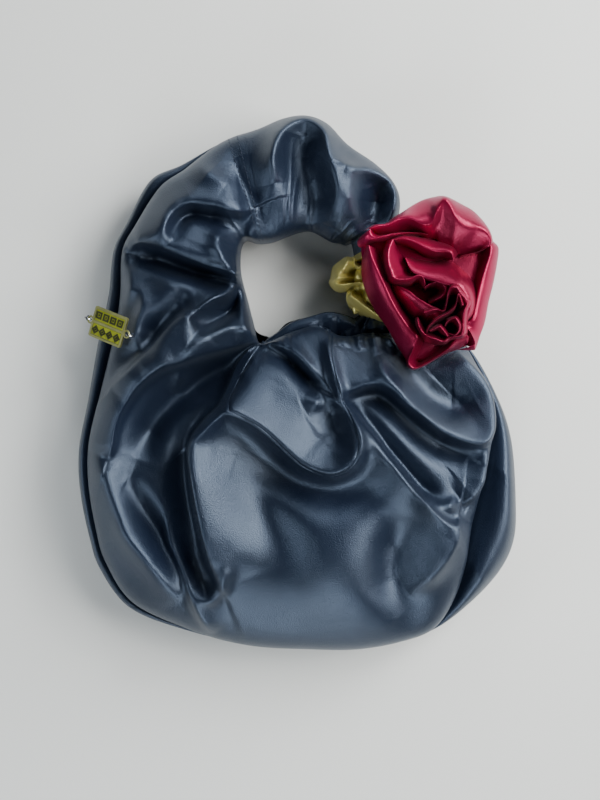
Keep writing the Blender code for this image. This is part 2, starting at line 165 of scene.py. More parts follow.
def sections_at(t):
    """Sections at the places t, smooth through the stated ones and straight along the neck."""
    t = np.asarray(t, dtype=float)
    k = np.clip(np.floor(t).astype(int), 0, LAST - 1)
    u = (t - k)[:, None]
    near = [SECTIONS[np.clip(k + i, 0, LAST)] for i in (-1, 0, 1, 2)]
    curved = spline(*near, u)
    straight = near[1] * (1 - u) + near[2] * u
    values = np.where((k >= NECK_START)[:, None], straight, curved)
    values[:, 4] = np.maximum(values[:, 4], 0.0)
    return values


def smoothstep(x):
    x = np.clip(x, 0.0, 1.0)
    return x * x * (3 - 2 * x)


def mouth_share(t):
    """1 along the mouth and 0 at its two ends, where the cloth closes into a tube."""
    return smoothstep(np.minimum((t - 0.5) / 2.0, (POUCH_END - 1.0 - t) / 2.0))


def tuck_at(t):
    """How far the front's outer edge lies inside the outline at the places t."""
    places, widths = zip(*TUCKS)
    fine = np.linspace(places[0], places[-1], 400)
    width = np.interp(fine, places, widths)
    window = np.hanning(17)
    width = np.convolve(np.pad(width, 8, mode="edge"), window / window.sum(), mode="valid")
    return np.interp(t, fine, width)


def cloth_grid(t, angle, depth=0.0, open_mouth=0.0, inset=0.0, tucked=False):
    """Grid of points on the ring of cloth, [section][angle], in millimetres.

    angle runs from the outer edge (0) over the top to the inner edge (pi) and back below.
    open_mouth lifts the front's rim and drops the back's; inset draws the rim back from the
    hole. tucked folds the front in at its outer edge, so that the back shows beside it.
    """
    values = sections_at(t)[:, :, None]
    inner_x, inner_y, outer_x, outer_y, low, seam, high, power, flat = (
        values[:, i] for i in range(9)
    )
    a = np.asarray(angle)[None, :]
    share = mouth_share(np.asarray(t))[:, None]
    length = np.hypot(outer_x - inner_x, outer_y - inner_y)
    draw = inset * share / length
    inner_x = inner_x + (outer_x - inner_x) * draw
    inner_y = inner_y + (outer_y - inner_y) * draw
    above = np.sin(a) >= -1e-9
    tuck = tuck_at(t)[:, None] if tucked else np.zeros_like(length)
    bulge = np.minimum(BAND_RISE * tuck, BAND_MOST)
    turn = np.where(above, tuck / length, 0.0)
    edge_x = outer_x + (inner_x - outer_x) * turn
    edge_y = outer_y + (inner_y - outer_y) * turn
    shrink = 1 - depth / (length / 2)
    x = (edge_x + inner_x) / 2 + (edge_x - inner_x) / 2 * shrink * np.cos(a)
    y = (edge_y + inner_y) / 2 + (edge_y - inner_y) / 2 * shrink * np.cos(a)
    rise = np.abs(np.sin(a)) ** power
    gap = open_mouth * share * (1 - np.cos(a)) / 2
    spread = (1 - EDGE_BIAS + EDGE_BIAS * np.cos(a)) * (1 + np.cos(a)) / 2
    start = seam + gap + bulge * spread
    top = start + (high - depth - start) * rise
    below = seam - gap - (seam - gap - low - depth + flat) * rise
    below = np.maximum(below, low + depth + TABLE_CLEAR)
    grid = np.stack([x, y, np.where(above, top, below)], axis=-1)
    if not tucked:
        return grid
    q = np.linspace(0, 1, BAND_COLUMNS, endpoint=False)[None, :]
    reach = (tuck + BAND_UNDER * np.minimum(tuck / BAND_FULL, 1.0)) / length * q
    band_x = outer_x + (inner_x - outer_x) * reach
    band_y = outer_y + (inner_y - outer_y) * reach
    hump = np.sin(math.pi * (q * BAND_SHARE) ** BAND_SKEW)
    band = np.stack([band_x, band_y, seam + BAND_HUMP * bulge * hump], axis=-1)
    return np.concatenate([band, grid], axis=1)


# ---------------------------------------------------------------- folds

# Each fold: name, its route in x, y, its height at points spread evenly along the route
# (below 0 is a hollow), its width to the left and to the right of the route, and how far its
# crest leans to the left.
FOLDS = (
    ("arm_hook", ((-31, 117), (-38, 115), (-46, 116), (-54, 118), (-62, 119), (-71, 120),
      (-80, 116), (-86, 108), (-87, 101), (-83, 94)),
     (4, 8, 8, 8, 8, 8, 8, 7, 5, 0), 3.5, 13, 1.5),
    ("arm_hook_hollow", ((-38, 108), (-55, 112), (-68, 114), (-77, 110), (-80, 102)),
     (0, -5, -6, -6, -3), 6, 6, 0),
    ("arm_twist", ((-49, 105), (-51, 98), (-51, 91), (-46, 80), (-41, 73)),
     (0, 5, 6, 6, 6), 4, 6, 0),
    ("arm_shelf", ((-41, 73), (-52, 77), (-62, 81), (-78, 87), (-93, 93), (-106, 95), (-114, 91)),
     (6, 9, 10, 10, 9, 7, 2), 3, 24, 2.5),
    ("arm_shelf_hollow", ((-46, 67), (-62, 72), (-78, 77), (-95, 83), (-106, 85)),
     (-4, -9, -10, -9, -5), 7, 9, 0),
    ("arm_slope", ((-68, 65), (-82, 62), (-92, 49), (-97, 35)),
     (2, 5, 5, 2), 12, 12, 0),
    ("arm_left_soft", ((-112, 72), (-111, 62), (-114, 52)),
     (2, 4, 1), 6, 6, 0),
    ("arm_left_ridge", ((-105, 65), (-102, 51), (-106, 33), (-103, 17)),
     (1, 4, 5, 2), 7, 6, 0),
    ("arm_wing", ((-41, 71), (-45, 62), (-51, 58), (-57, 55), (-66, 48), (-71, 42), (-69, 37),
      (-65, 34)),
     (6, 8, 8, 8, 7, 7, 5, 1), 3.2, 11, 1.0),
    ("arm_wing_hollow", ((-41, 66), (-42, 55), (-48, 47), (-56, 41), (-62, 38)),
     (-5, -8, -9, -6, -2), 4.5, 4.5, 0),
    ("arm_inner_edge", ((-40, 71), (-39, 62), (-38, 54), (-34, 39), (-26, 32)),
     (5, 6, 6, 6, 5), 6, 4, 0),
    ("arm_star", ((-26, 32), (-35, 35), (-44, 37), (-55, 33), (-68, 25)),
     (5, 6, 7, 6, 3), 6, 6, 0),
    ("band_upper", ((-69, 47), (-78, 40), (-86, 32), (-93, 24), (-100, 17), (-111, 7), (-123, -3)),
     (2, 6, 8, 8, 7, 6, 2), 20, 3.5, -1.5),
    ("band_upper_hollow", ((-80, 52), (-92, 39), (-98, 27), (-106, 15)),
     (-3, -7, -7, -3), 9, 9, 0),
    ("band_lower", ((-25, 31), (-34, 29), (-43, 26), (-57, 22), (-69, 18), (-78, 14), (-88, 11),
      (-100, 3), (-110, -7), (-118, -19), (-122, -30), (-124, -42), (-126, -50)),
     (4, 8, 9, 10, 10, 9, 9, 8, 8, 8, 7, 6, 1), 3.0, 15, 2.0),
    ("sweep_hollow", ((-32, 21), (-51, 9), (-69, -3), (-86, -17), (-99, -33), (-107, -50)),
     (-6, -12, -14, -14, -12, -5), 14, 12, 0),
    ("sweep_soft", ((-76, 11), (-78, 3), (-84, -7)),
     (1, 4, 0), 4, 4, 0),
    ("lower_left_ridge", ((-135, -46), (-129, -60), (-124, -73), (-118, -87), (-111, -102),
      (-97, -118), (-86, -132), (-78, -145)),
     (1, 5, 5, 6, 8, 8, 6, 1), 9, 11, 0),
    ("lower_left_hollow", ((-113, -65), (-105, -81), (-94, -98), (-85, -115), (-76, -135)),
     (-3, -7, -8, -7, -2), 9, 8, 0),
    ("lower_thin_ridge", ((-88, -86), (-85, -99), (-82, -108), (-73, -126), (-68, -144),
      (-61, -160), (-56, -168)),
     (0, 4, 6, 7, 6, 5, 0), 9, 3.2, -1.0),
    ("lower_thin_hollow", ((-81, -95), (-72, -118), (-63, -138)),
     (-2, -6, -3), 7, 7, 0),
    ("bulge_edge", ((-28, 25), (-34, 18), (-39, 11), (-44, -3), (-51, -16), (-62, -28),
      (-68, -38), (-69, -47), (-66, -64), (-63, -83), (-59, -102), (-55, -118), (-50, -133)),
     (4, 6, 7, 8, 9, 10, 11, 12, 12, 11, 10, 8, 2), 26, 2.4, -3.0),
    ("bulge_edge_hollow", ((-39, 1), (-51, -13), (-65, -26), (-75, -38), (-76, -58), (-73, -82),
      (-68, -105), (-62, -129)),
     (-4, -8, -11, -12, -11, -10, -9, -4), 6, 10, 0),
    ("bulge_pocket", ((-66, -134), (-63, -141), (-58, -143), (-53, -139), (-48, -132),
      (-45, -120)),
     (1, 4, 5, 5, 5, 1), 4, 4, 0),
    ("lobe_edge", ((-66, -36), (-59, -30), (-52, -23), (-45, -19), (-34, -22), (-24, -28),
      (-11, -39), (1, -50), (12, -55), (22, -57), (30, -54), (36, -48), (38, -39), (35, -29),
      (29, -18)),
     (3, 5, 6, 8, 8, 9, 9, 9, 9, 9, 9, 9, 8, 7, 4), 15, 4.5, -2.0),
    ("lobe_under", ((-55, -38), (-35, -38), (-18, -52), (0, -67), (22, -72), (43, -64), (51, -50)),
     (-1, -5, -6, -6, -6, -5, -1), 9, 14, 0),
    ("lobe_crease", ((-20, 23), (-11, 19), (-4, 14), (6, 3), (14, -6)),
     (-3, -6, -7, -7, -2), 4.5, 6, 0),
    ("lobe_crease_ridge", ((-12, 25), (-1, 19), (8, 10), (16, -1)),
     (2, 4, 4, 1), 4, 4, 0),
    ("lobe_dark", ((14, -6), (20, -19), (25, -33), (22, -43)),
     (-3, -7, -7, -2), 9, 11, 0),
    ("lobe_blob", ((5, -9), (12, -13), (16, -17)),
     (1, 4, 0), 5, 5, 0),
    ("pinch_ridge", ((21, 24), (22, 16), (24, 7), (27, -5), (28, -13)),
     (3, 5, 6, 6, 4), 4, 3.2, 0),
    ("right_lobe_edge", ((29, -9), (33, -5), (38, -2), (46, 1), (54, 1), (63, -3), (72, -11),
      (83, -19), (94, -28), (108, -35), (120, -37), (126, -32), (128, -21), (127, -7), (121, 4),
      (112, 14), (107, 21)),
     (3, 5, 6, 6, 6, 7, 8, 8, 9, 9, 9, 9, 9, 8, 7, 5, 1), 14, 4.0, -2.2),
    ("right_lobe_under", ((36, -10), (52, -9), (65, -17), (78, -30), (95, -41), (112, -49)),
     (-3, -6, -6, -6, -6, -3), 7, 10, 0),
    ("right_lobe_rib", ((51, 21), (55, 14), (58, 7), (70, -5), (80, -18)),
     (2, 5, 6, 5, 1), 7, 6, 0),
    ("right_lobe_hollow", ((70, 7), (85, -6), (103, -15), (116, -10)),
     (-4, -7, -7, -2), 11, 9, 0),
    ("diagonal_ridge", ((29, -15), (35, -20), (41, -28), (48, -36), (55, -46), (66, -60),
      (77, -74), (88, -86), (98, -93), (105, -94), (109, -89)),
     (3, 6, 8, 9, 10, 10, 10, 9, 8, 7, 1), 2.8, 20, 1.5),
    ("diagonal_hollow", ((43, -23), (58, -42), (72, -58), (84, -71)),
     (-3, -6, -6, -4), 7, 4, 0),
    ("small_shelf", ((78, -71), (84, -78), (92, -81), (100, -80), (106, -75)),
     (0, 4, 5, 5, 0), 3, 6, 0),
    ("right_channel_lip", ((128, -35), (124, -53), (122, -65), (115, -75), (107, -79)),
     (3, 6, 7, 6, 0), 3, 12, 1.0),
    ("corner_lobe", ((106, -92), (104, -104), (97, -117), (86, -129), (72, -138)),
     (3, 6, 7, 5, 0), 6, 16, 0),
    ("bulge_dark", ((70, -88), (64, -108), (64, -131), (74, -153)),
     (-1, -6, -7, -3), 15, 15, 0),
    ("arch_left", ((-15, 132), (-16, 141), (-16, 150), (-12, 163), (-4, 172), (5, 175),
      (12, 172), (18, 165), (20, 152), (23, 140), (26, 127), (24, 114), (20, 106)),
     (2, 6, 8, 8, 8, 8, 8, 8, 8, 8, 7, 5, 1), 7.5, 6.5, 0),
    ("arch_hollow", ((4, 165), (3, 151), (6, 138), (10, 123), (11, 108)),
     (-3, -8, -9, -8, -3), 13, 13, 0),
    ("top_right_ridge", ((32, 143), (38, 141), (47, 141), (56, 139), (62, 135), (65, 127),
      (64, 115), (62, 106)),
     (3, 6, 7, 7, 7, 7, 7, 3), 7.5, 5.5, 0),
    ("top_right_hollow", ((50, 132), (53, 123), (52, 109)),
     (-4, -8, -5), 10, 10, 0),
    ("top_right_star", ((32, 141), (35, 132), (35, 122), (36, 110)),
     (3, 4, 4, 1), 8, 8, 0),
    ("seam_valley", ((-41, 150), (-37, 138), (-32, 126), (-31, 113), (-32, 98)),
     (-1, -4, -6, -5, -2), 9, 8, 0),
    ("left_soft", ((-70, 149), (-59, 138), (-47, 131)),
     (1, 5, 2), 9, 9, 0),
    ("hole_top_left", ((-30, 108), (-32, 98), (-36, 87)),
     (3, 5, 2), 5, 5, 0),
    ("corner_pleat_1", ((36, 41), (33, 33), (31, 24)), (2, 5, 0), 4, 3, 0),
    ("corner_pleat_2", ((43, 41), (41, 31), (42, 21)), (3, 6, 0), 4, 3, 0),
    ("corner_pleat_3", ((50, 40), (51, 30), (54, 19)), (3, 6, 0), 4, 4, 0),
    ("corner_pleat_4", ((58, 38), (62, 29), (69, 19)), (3, 6, 0), 5, 4, 0),
    ("corner_pleat_5", ((67, 36), (74, 28), (84, 19)), (2, 5, 0), 5, 4, 0),
)


# Broad swellings and hollows: centre x, y, half widths along and across, turn in degrees and
# height.
SWELLINGS = (
    (22, -112, 38, 34, 0, 8),
    (-22, -85, 38, 16, -59, -10),
    (35, -142, 46, 24, -10, 4),
    (-10, -62, 40, 12, -15, -5),
    (-92, -60, 14, 40, 15, -6),
    (-70, 5, 38, 14, 32, -7),
    (70, -100, 16, 30, -10, -5),
)

FOLD_GAIN = 1.5  # how much deeper the folds are than their stated heights
CREST = 0.8  # half width of the rounding along a sharp crest
CREST_POWER = 1.4  # 2 gives a bell, 1 a sharp ridge
FOLD_SAMPLES = 70
FOLD_REACH = 3.0  # how many widths from its route a fold still counts


def add_fold(flat, lift, shift, route, heights, left, right, lean):
    """Add one fold to lift, the rise of each point, and to shift, its sideways move."""
    line = smooth_curve(route, FOLD_SAMPLES)
    where = np.linspace(0, 1, len(heights))
    rise = np.interp(np.linspace(0, 1, FOLD_SAMPLES), where, heights)
    reach = FOLD_REACH * max(left, right)
    near = np.all((flat > line.min(0) - reach) & (flat < line.max(0) + reach), axis=1)
    index = np.nonzero(near)[0]
    if len(index) == 0:
        return
    points = flat[index]
    best = np.full(len(points), 1e9)
    amount = np.zeros(len(points))
    side = np.zeros(len(points))
    normal = np.zeros((len(points), 2))
    for i in range(FOLD_SAMPLES - 1):
        run = line[i + 1] - line[i]
        length = math.hypot(*run)
        if length < 1e-6:
            continue
        run = run / length
        offset = points - line[i]
        along = np.clip(offset @ run / length, 0, 1)
        apart = offset - (along * length)[:, None] * run
        distance = np.hypot(apart[:, 0], apart[:, 1])
        closer = distance < best
        best[closer] = distance[closer]
        amount[closer] = (rise[i] * (1 - along) + rise[i + 1] * along)[closer]
        side[closer] = (run[0] * offset[:, 1] - run[1] * offset[:, 0])[closer]
        normal[closer] = (-run[1], run[0])
    width = np.where(side > 0, left, right)
    crest = np.sqrt(best ** 2 + CREST ** 2) - CREST
    sharp = np.exp(-((crest / width) ** CREST_POWER))
    soft = np.exp(-((best / width) ** 2))
    fall = np.where(amount > 0, sharp, soft)
    lift[index] += FOLD_GAIN * amount * fall
    if lean:
        peak = max(abs(min(heights)), max(heights))
        strength = lean * np.abs(amount) / peak * soft
        shift[index] += normal * strength[:, None]


def value_noise(x, y, seed):
    """Smooth noise from -1 to 1 over arrays x and y, one cell per unit."""
    chance = np.random.default_rng(seed)
    cells = 256
    table = chance.uniform(-1, 1, (cells, cells))
    i = np.floor(x).astype(int)
    j = np.floor(y).astype(int)
    u = smoothstep(x - i)
    v = smoothstep(y - j)
    i, next_i, j, next_j = i % cells, (i + 1) % cells, j % cells, (j + 1) % cells
    near = table[i, j] * (1 - u) + table[next_i, j] * u
    far = table[i, next_j] * (1 - u) + table[next_i, next_j] * u
    return near * (1 - v) + far * v


def gathers(t, angle, amount, rate, seed, reach=1.5):
    """Small pleats that run across the ring of cloth and fade away from its inner edge."""
    a = np.asarray(angle)[None, :]
    places = np.asarray(t)[:, None]
    a = np.concatenate([np.zeros((1, BAND_COLUMNS)), a], axis=1)
    inner = (1 - np.cos(a)) / 2
    sway = 0.5 * value_noise(places * 0.8, a * 1.3 + 9, seed + 5)
    fine = value_noise((places + sway) * rate, a * 0.9, seed)
    finer = value_noise((places + sway) * rate * 2.1, a * 1.4, seed + 1)
    ridges = 1 - 2 * np.abs(fine)
    return amount * (ridges + 0.5 * finer) * (0.08 + 0.92 * inner ** reach)


def sculpt(grid, hold, pleats=0.0):
    """Lift a grid of points by the folds and by pleats.

    hold is 0 where a point must stay, and 1 elsewhere.
    """
    flat = grid[..., :2].reshape(-1, 2)
    lift = np.zeros(len(flat))
    shift = np.zeros((len(flat), 2))
    for _, route, heights, left, right, lean in FOLDS:
        add_fold(flat, lift, shift, route, heights, left, right, lean)
    for x, y, along, across, turn, height in SWELLINGS:
        c = math.cos(math.radians(turn))
        d = math.sin(math.radians(turn))
        u = ((flat[:, 0] - x) * c + (flat[:, 1] - y) * d) / along
        v = ((flat[:, 1] - y) * c - (flat[:, 0] - x) * d) / across
        lift += height * np.exp(-(u * u) - v * v)
    shape = grid.shape[:2]
    keep = np.broadcast_to(hold, shape)
    out = grid.copy()
    out[..., 2] += (soften(lift.reshape(shape)) + pleats) * keep
    out[..., 0] += soften(shift[:, 0].reshape(shape), 4) * keep
    out[..., 1] += soften(shift[:, 1].reshape(shape), 4) * keep
    return out


def soften(field, passes=2):
    """Blur a field over its grid a little."""
    for _ in range(passes):
        for axis in (0, 1):
            before = np.concatenate([np.take(field, [0], axis), field], axis)
            after = np.concatenate([field, np.take(field, [-1], axis)], axis)
            length = field.shape[axis]
            before = np.take(before, range(length), axis)
            after = np.take(after, range(1, length + 1), axis)
            field = (before + 2 * field + after) / 4
    return field


# Rose petals, each a folded strip: for each station its outer foot x, y, its folded rim x, y,
# its inner foot x, y and the height of the rim.
PETALS = (
    ("top_petal", (
        (43.5, 100, 47.5, 100.5, 49, 99, 70), (49.5, 104, 52, 102, 52.5, 97, 72),
        (58, 105, 59, 103, 61, 97.5, 73), (63, 109, 65.5, 106, 69.5, 99, 75),
        (70, 113.5, 73, 106, 76, 98.5, 78), (77, 118, 81, 102, 82.5, 95, 80),
        (83, 121, 87, 103.5, 87.5, 94, 81), (88, 122.5, 89.5, 110.5, 90.5, 93.5, 83),
        (95, 123.5, 93.5, 116.5, 93, 91, 84), (102, 121.5, 97, 114, 97.5, 88.5, 84),
        (109, 118, 102.5, 105, 101, 84.5, 82), (116, 114, 109.5, 100, 104.5, 84, 80),
        (122, 108, 117.5, 99, 109.5, 84, 79), (126, 102, 123, 96, 113.5, 84, 78),
        (128.5, 96, 125, 91.5, 115, 84.5, 76), (129, 92.5, 124, 88, 113, 84, 74),
        (127, 89, 116.5, 85, 108, 82.5, 72), (116.5, 84, 106.5, 83, 106, 80, 70),
    )),
    ("right_petal", (
        (129.5, 93.5, 125.5, 91, 123, 88.5, 70), (133, 89, 125, 83.5, 120, 81.5, 72),
        (132, 78.5, 122, 74, 116.5, 73.5, 72), (129.5, 65.5, 119, 64, 115, 64.5, 71),
        (126.5, 53.5, 117, 55, 113.5, 56, 71), (124, 40.5, 113.5, 41.5, 111, 45.5, 71),
        (120.5, 30.5, 109.5, 38.5, 107.5, 39.5, 70), (118, 23, 113.5, 32, 108.5, 34.5, 69),
        (115.5, 21.5, 116.5, 26.5, 108, 30.5, 66), (104.5, 22, 113.5, 23.5, 106.5, 27, 63),
    )),
    ("left_petal", (
        (45, 91, 46.5, 89, 52.5, 88.5, 72), (42.5, 80.5, 48.5, 81.5, 55.5, 81, 74),
        (42.5, 70, 52.5, 72, 57.5, 72.5, 76), (46, 58, 57, 62, 61, 64, 77),
        (52, 46.5, 61.5, 52.5, 66, 55.5, 76), (58.5, 37.5, 66.5, 44, 71, 47, 75),
        (65, 26, 73, 35, 78, 40, 74), (70, 18, 78, 29.5, 85, 33.5, 73),
        (72, 13.5, 75, 21.5, 86, 26.5, 70), (72.5, 11, 72.5, 14, 84, 20, 67),
        (76.5, 8.5, 76.5, 9.5, 82, 17.5, 65), (84, 11, 83, 12, 86.5, 19, 66),
        (91.5, 15.5, 90.5, 16.5, 91.5, 23.5, 68), (100, 20, 98.5, 22.5, 97, 27.5, 70),
        (104.5, 21.5, 104, 29.5, 101, 31, 72), (107, 22.5, 108.5, 31.5, 105.5, 31.5, 72),
        (108.5, 23.5, 111.5, 30, 107.5, 30, 70), (109, 24, 111.5, 26, 108.5, 28.5, 66),
    )),
    ("rolled_lobe", (
        (41, 96, 47.5, 100, 51.5, 99, 70), (39.5, 93, 47.5, 97.5, 53.5, 98, 71),
        (41.5, 89.5, 49, 95.5, 56, 98, 71), (49.5, 91.5, 52, 94.5, 59.5, 98.5, 72),
        (58, 92.5, 59.5, 96, 66, 99.5, 74), (66.5, 94.5, 69, 97, 72.5, 99.5, 75),
        (77, 96, 77.5, 97, 79.5, 99, 75), (83, 95, 85, 96, 85, 98, 74),
    )),
    ("second_petal", (
        (60.5, 94.5, 62, 92.5, 66, 91.5, 74), (68.5, 98, 68.5, 93, 70, 90, 77),
        (75, 98, 75.5, 90.5, 76, 87.5, 79), (82, 97, 82, 87, 81.5, 84, 80),
        (89, 96, 89.5, 84.5, 87.5, 81.5, 80), (96, 94, 96, 84.5, 93.5, 80.5, 80),
        (103, 90.5, 99.5, 82.5, 96, 80.5, 80), (106.5, 85.5, 100.5, 79, 98, 80, 78),
    )),
    ("sweep_petal", (
        (72, 83, 70, 80.5, 71, 79.5, 74), (80.5, 82.5, 73.5, 72.5, 74.5, 70.5, 77),
        (89, 81.5, 81, 68, 81.5, 66, 80), (97, 82.5, 88.5, 65, 89, 63.5, 82),
        (103.5, 80.5, 95, 63, 95, 61, 83), (109.5, 75, 101, 62, 100, 59, 84),
        (115, 69, 105, 59.5, 103, 56.5, 84), (118, 61.5, 108.5, 54.5, 106, 53, 83),
        (118.5, 53.5, 110, 48.5, 107, 50, 82), (116.5, 45, 109.5, 43, 106.5, 44, 79),
        (111.5, 40, 108, 39, 106.5, 40, 76),
    )),
    ("triangle_petal", (
        (58, 93.5, 62, 92.5, 66, 88, 76), (55.5, 87.5, 59.5, 87, 67, 86, 78),
        (55, 80.5, 58.5, 81.5, 69, 81.5, 79), (56, 73.5, 59, 75.5, 70.5, 78, 80),
        (57, 68.5, 60.5, 71.5, 72, 75.5, 81), (59.5, 65, 62, 67.5, 73, 73, 81),
        (66.5, 62.5, 67, 66.5, 75, 71.5, 81), (73.5, 62.5, 72.5, 67, 76.5, 71, 81),
        (77.5, 64.5, 77, 69, 79, 70.5, 81), (79, 65, 80.5, 68.5, 82.5, 68.5, 80),
        (80.5, 62.5, 82, 64.5, 86, 65.5, 79), (81.5, 60.5, 82, 62, 87, 64, 77),
    )),
    ("curl_petal", (
        (83, 59.5, 82, 61.5, 85.5, 60.5, 77), (86.5, 61.5, 86, 64, 87.5, 61, 79),
        (93, 70, 90.5, 64.5, 90.5, 61, 80), (101, 65.5, 94.5, 62, 92, 60, 81),
        (102, 59.5, 95, 59, 91.5, 59.5, 81), (99.5, 53.5, 93, 56, 90, 58.5, 80),
        (92.5, 50, 89, 53.5, 88, 57, 78), (85.5, 49.5, 85, 51.5, 85.5, 55.5, 75),
    )),
    ("low_petal", (
        (59.5, 65, 69, 61.5, 74.5, 59, 73), (60.5, 58, 73, 59, 78, 57, 76),
        (66, 51, 77, 55, 82, 53.5, 78), (71, 44, 82, 52, 86, 51, 79),
        (75, 40, 87, 49, 90, 48.5, 80), (78.5, 37.5, 92, 47, 93.5, 46, 80),
        (82, 34.5, 95, 46, 96, 44, 80),
    )),
    ("bud_outer", (
        (76.5, 42.5, 77.5, 42, 80.5, 40, 81), (77, 36.5, 78, 37, 82.5, 37, 81),
        (82, 28.5, 82, 31, 85, 35, 80), (89, 25, 88, 28.5, 89.5, 34, 80),
        (97, 24.5, 94, 26.5, 93.5, 33, 79), (102, 27, 97.5, 29, 96, 34, 79),
        (109.5, 28, 104, 30, 100.5, 35, 80), (112.5, 32, 106, 32, 101, 36.5, 82),
        (113, 40, 106, 38.5, 101.5, 39.5, 84), (114, 46.5, 106.5, 45.5, 102, 43, 86),
        (116, 52, 108.5, 50.5, 104, 46, 86), (113, 58, 106.5, 54.5, 103, 49.5, 86),
        (109.5, 63, 103.5, 57.5, 102, 52, 87), (105.5, 66.5, 101.5, 60.5, 101, 54.5, 87),
        (100, 65.5, 98.5, 61, 99.5, 54.5, 87), (97, 61.5, 96.5, 58, 98.5, 52, 86),
        (96, 53.5, 95.5, 51.5, 97.5, 48, 85), (92.5, 47.5, 94, 46, 95.5, 43, 84),
        (89, 51, 88.5, 47, 90, 42, 83), (82, 49.5, 81.5, 45, 85, 40.5, 82),
    )),
    ("bud_middle", (
        (83, 31, 83, 31.5, 86.5, 33, 80), (84, 36.5, 84.5, 36, 88, 36.5, 82),
        (89, 43.5, 90, 41, 93, 39.5, 84), (97, 47.5, 97, 45, 98.5, 43, 86),
        (102, 53, 101, 49.5, 102, 46, 88), (103, 59.5, 102.5, 56, 103.5, 51, 88),
        (106.5, 60.5, 104, 54, 104.5, 49.5, 87), (110.5, 53, 105.5, 49, 104.5, 46, 86),
    )),
    ("bud_inner", (
        (95, 35.5, 94.5, 36, 97.5, 36.5, 83), (97, 42.5, 96, 39, 99, 38, 85),
        (104.5, 45, 100.5, 41, 100.5, 38, 86), (109, 40, 103, 37.5, 102, 36, 86),
        (109, 34, 103.5, 33.5, 102.5, 34.5, 84), (103.5, 29.5, 101, 30.5, 101, 34, 82),
        (97.5, 30.5, 97, 31.5, 99.5, 34, 81),
    )),
    ("bud_point", (
        (84.5, 34.5, 85, 33, 87.5, 32, 82), (89, 38, 88, 34.5, 89.5, 32.5, 84),
        (94, 39.5, 91, 35.5, 91, 33, 85), (97.5, 36.5, 93.5, 33.5, 92, 31, 84),
        (101, 31, 96.5, 29.5, 94, 30.5, 82),
    )),
)
OLIVE_FOLDS = (
    ("olive_lobe", (
        (46.5, 91.5, 45, 86.5, 47.5, 83.5, 50), (42, 89.5, 42.5, 83, 46.5, 80, 52),
        (37.5, 86.5, 38, 81, 45, 78.5, 50), (33, 86.5, 33, 79.5, 43, 76.5, 53),
        (28.5, 83.5, 30.5, 76, 42.5, 75, 50), (24, 79.5, 29, 73, 42.5, 73, 50),
        (22.5, 72.5, 27.5, 70, 42, 71, 53), (21.5, 69, 25.5, 68, 42.5, 69.5, 50),
        (23.5, 65, 26.5, 66.5, 43.5, 68, 48), (27, 62.5, 30, 66, 44, 67, 50),
        (31, 62, 35, 66.5, 45, 66, 52), (37, 64, 40.5, 67.5, 46, 65, 50),
        (43.5, 67, 44.5, 66.5, 48.5, 65, 50),
    )),
    ("olive_pocket", (
        (36.5, 85.5, 38, 83, 41.5, 83.5, 53), (37, 81, 38, 78.5, 41.5, 81.5, 55),
        (39, 76.5, 40.5, 76.5, 42.5, 80.5, 56), (43.5, 76, 43, 78, 43.5, 81, 56),
        (47.5, 80.5, 45, 81, 44, 83, 55), (48.5, 86.5, 45.5, 86, 44.5, 85.5, 54),
        (48, 92, 45.5, 89, 44, 87, 52),
    )),
    ("olive_band", (
        (34.5, 60, 36, 61.5, 39, 63.5, 47), (33.5, 57, 36.5, 58, 41.5, 62, 49),
        (36, 52.5, 40.5, 55, 45.5, 59, 51), (41, 47.5, 45.5, 51.5, 50, 54.5, 51),
        (46.5, 44, 51, 47.5, 54.5, 50.5, 50), (52.5, 41, 56, 44, 59, 46, 49),
        (60, 39, 61.5, 40.5, 63.5, 42, 47),
    )),
)


# ---------------------------------------------------------------- meshes

def link_object(name, mesh, *materials):
    mesh.update()
    mesh.shade_smooth()
    for material in materials:
        mesh.materials.append(material)
    obj = bpy.data.objects.new(name, mesh)
    bpy.context.scene.collection.objects.link(obj)
    return obj


def grid_faces(rows, columns, wrap=False):
    """Corner numbers of the quads over a grid of points."""
    spans = columns if wrap else columns - 1
    r = np.arange(rows - 1)[:, None]
    c = np.arange(spans)[None, :]
    d = (c + 1) % columns
    corners = (r * columns + c, r * columns + d, (r + 1) * columns + d, (r + 1) * columns + c)
    return np.stack(corners, axis=-1).reshape(-1, 4)


def grid_object(name, grid, material, wrap=False, flip=False, leave_out=None):
    """Mesh object over a grid of points in millimetres, without the faces at leave_out."""
    quads = grid_faces(*grid.shape[:2], wrap)
    if leave_out is not None:
        quads = quads[~leave_out.reshape(-1)[quads].all(axis=1)]
    if flip:
        quads = quads[:, ::-1]
    mesh = bpy.data.meshes.new(name)
    mesh.from_pydata((grid.reshape(-1, 3) * unit).tolist(), [], quads.tolist())
    return link_object(name, mesh, material)


def joined_tubes(name, lines, radius, material, sides=6):
    """One mesh of many round tubes along lines of points in millimetres."""
    points = []
    faces = []
    turn = np.linspace(0, 2 * math.pi, sides, endpoint=False)
    for line in lines:
        line = np.array(line, dtype=float)
        run = np.gradient(line, axis=0)
        run /= np.linalg.norm(run, axis=1)[:, None]
        side = np.cross(run, (0.0, 0.0, 1.0))
        side /= np.linalg.norm(side, axis=1)[:, None] + 1e-9
        over = np.cross(side, run)
        grid = (
            line[:, None, :]
            + radius * np.cos(turn)[None, :, None] * side[:, None, :]
            + radius * np.sin(turn)[None, :, None] * over[:, None, :]
        )
        start = len(points)
        points.extend(grid.reshape(-1, 3).tolist())
        rows = len(line)
        faces.extend((grid_faces(rows, sides, wrap=True) + start).tolist())
        faces.append([start + i for i in range(sides)][::-1])
        faces.append([start + (rows - 1) * sides + i for i in range(sides)])
    mesh = bpy.data.meshes.new(name)
    mesh.from_pydata((np.array(points) * unit).tolist(), [], faces)
    return link_object(name, mesh, material)


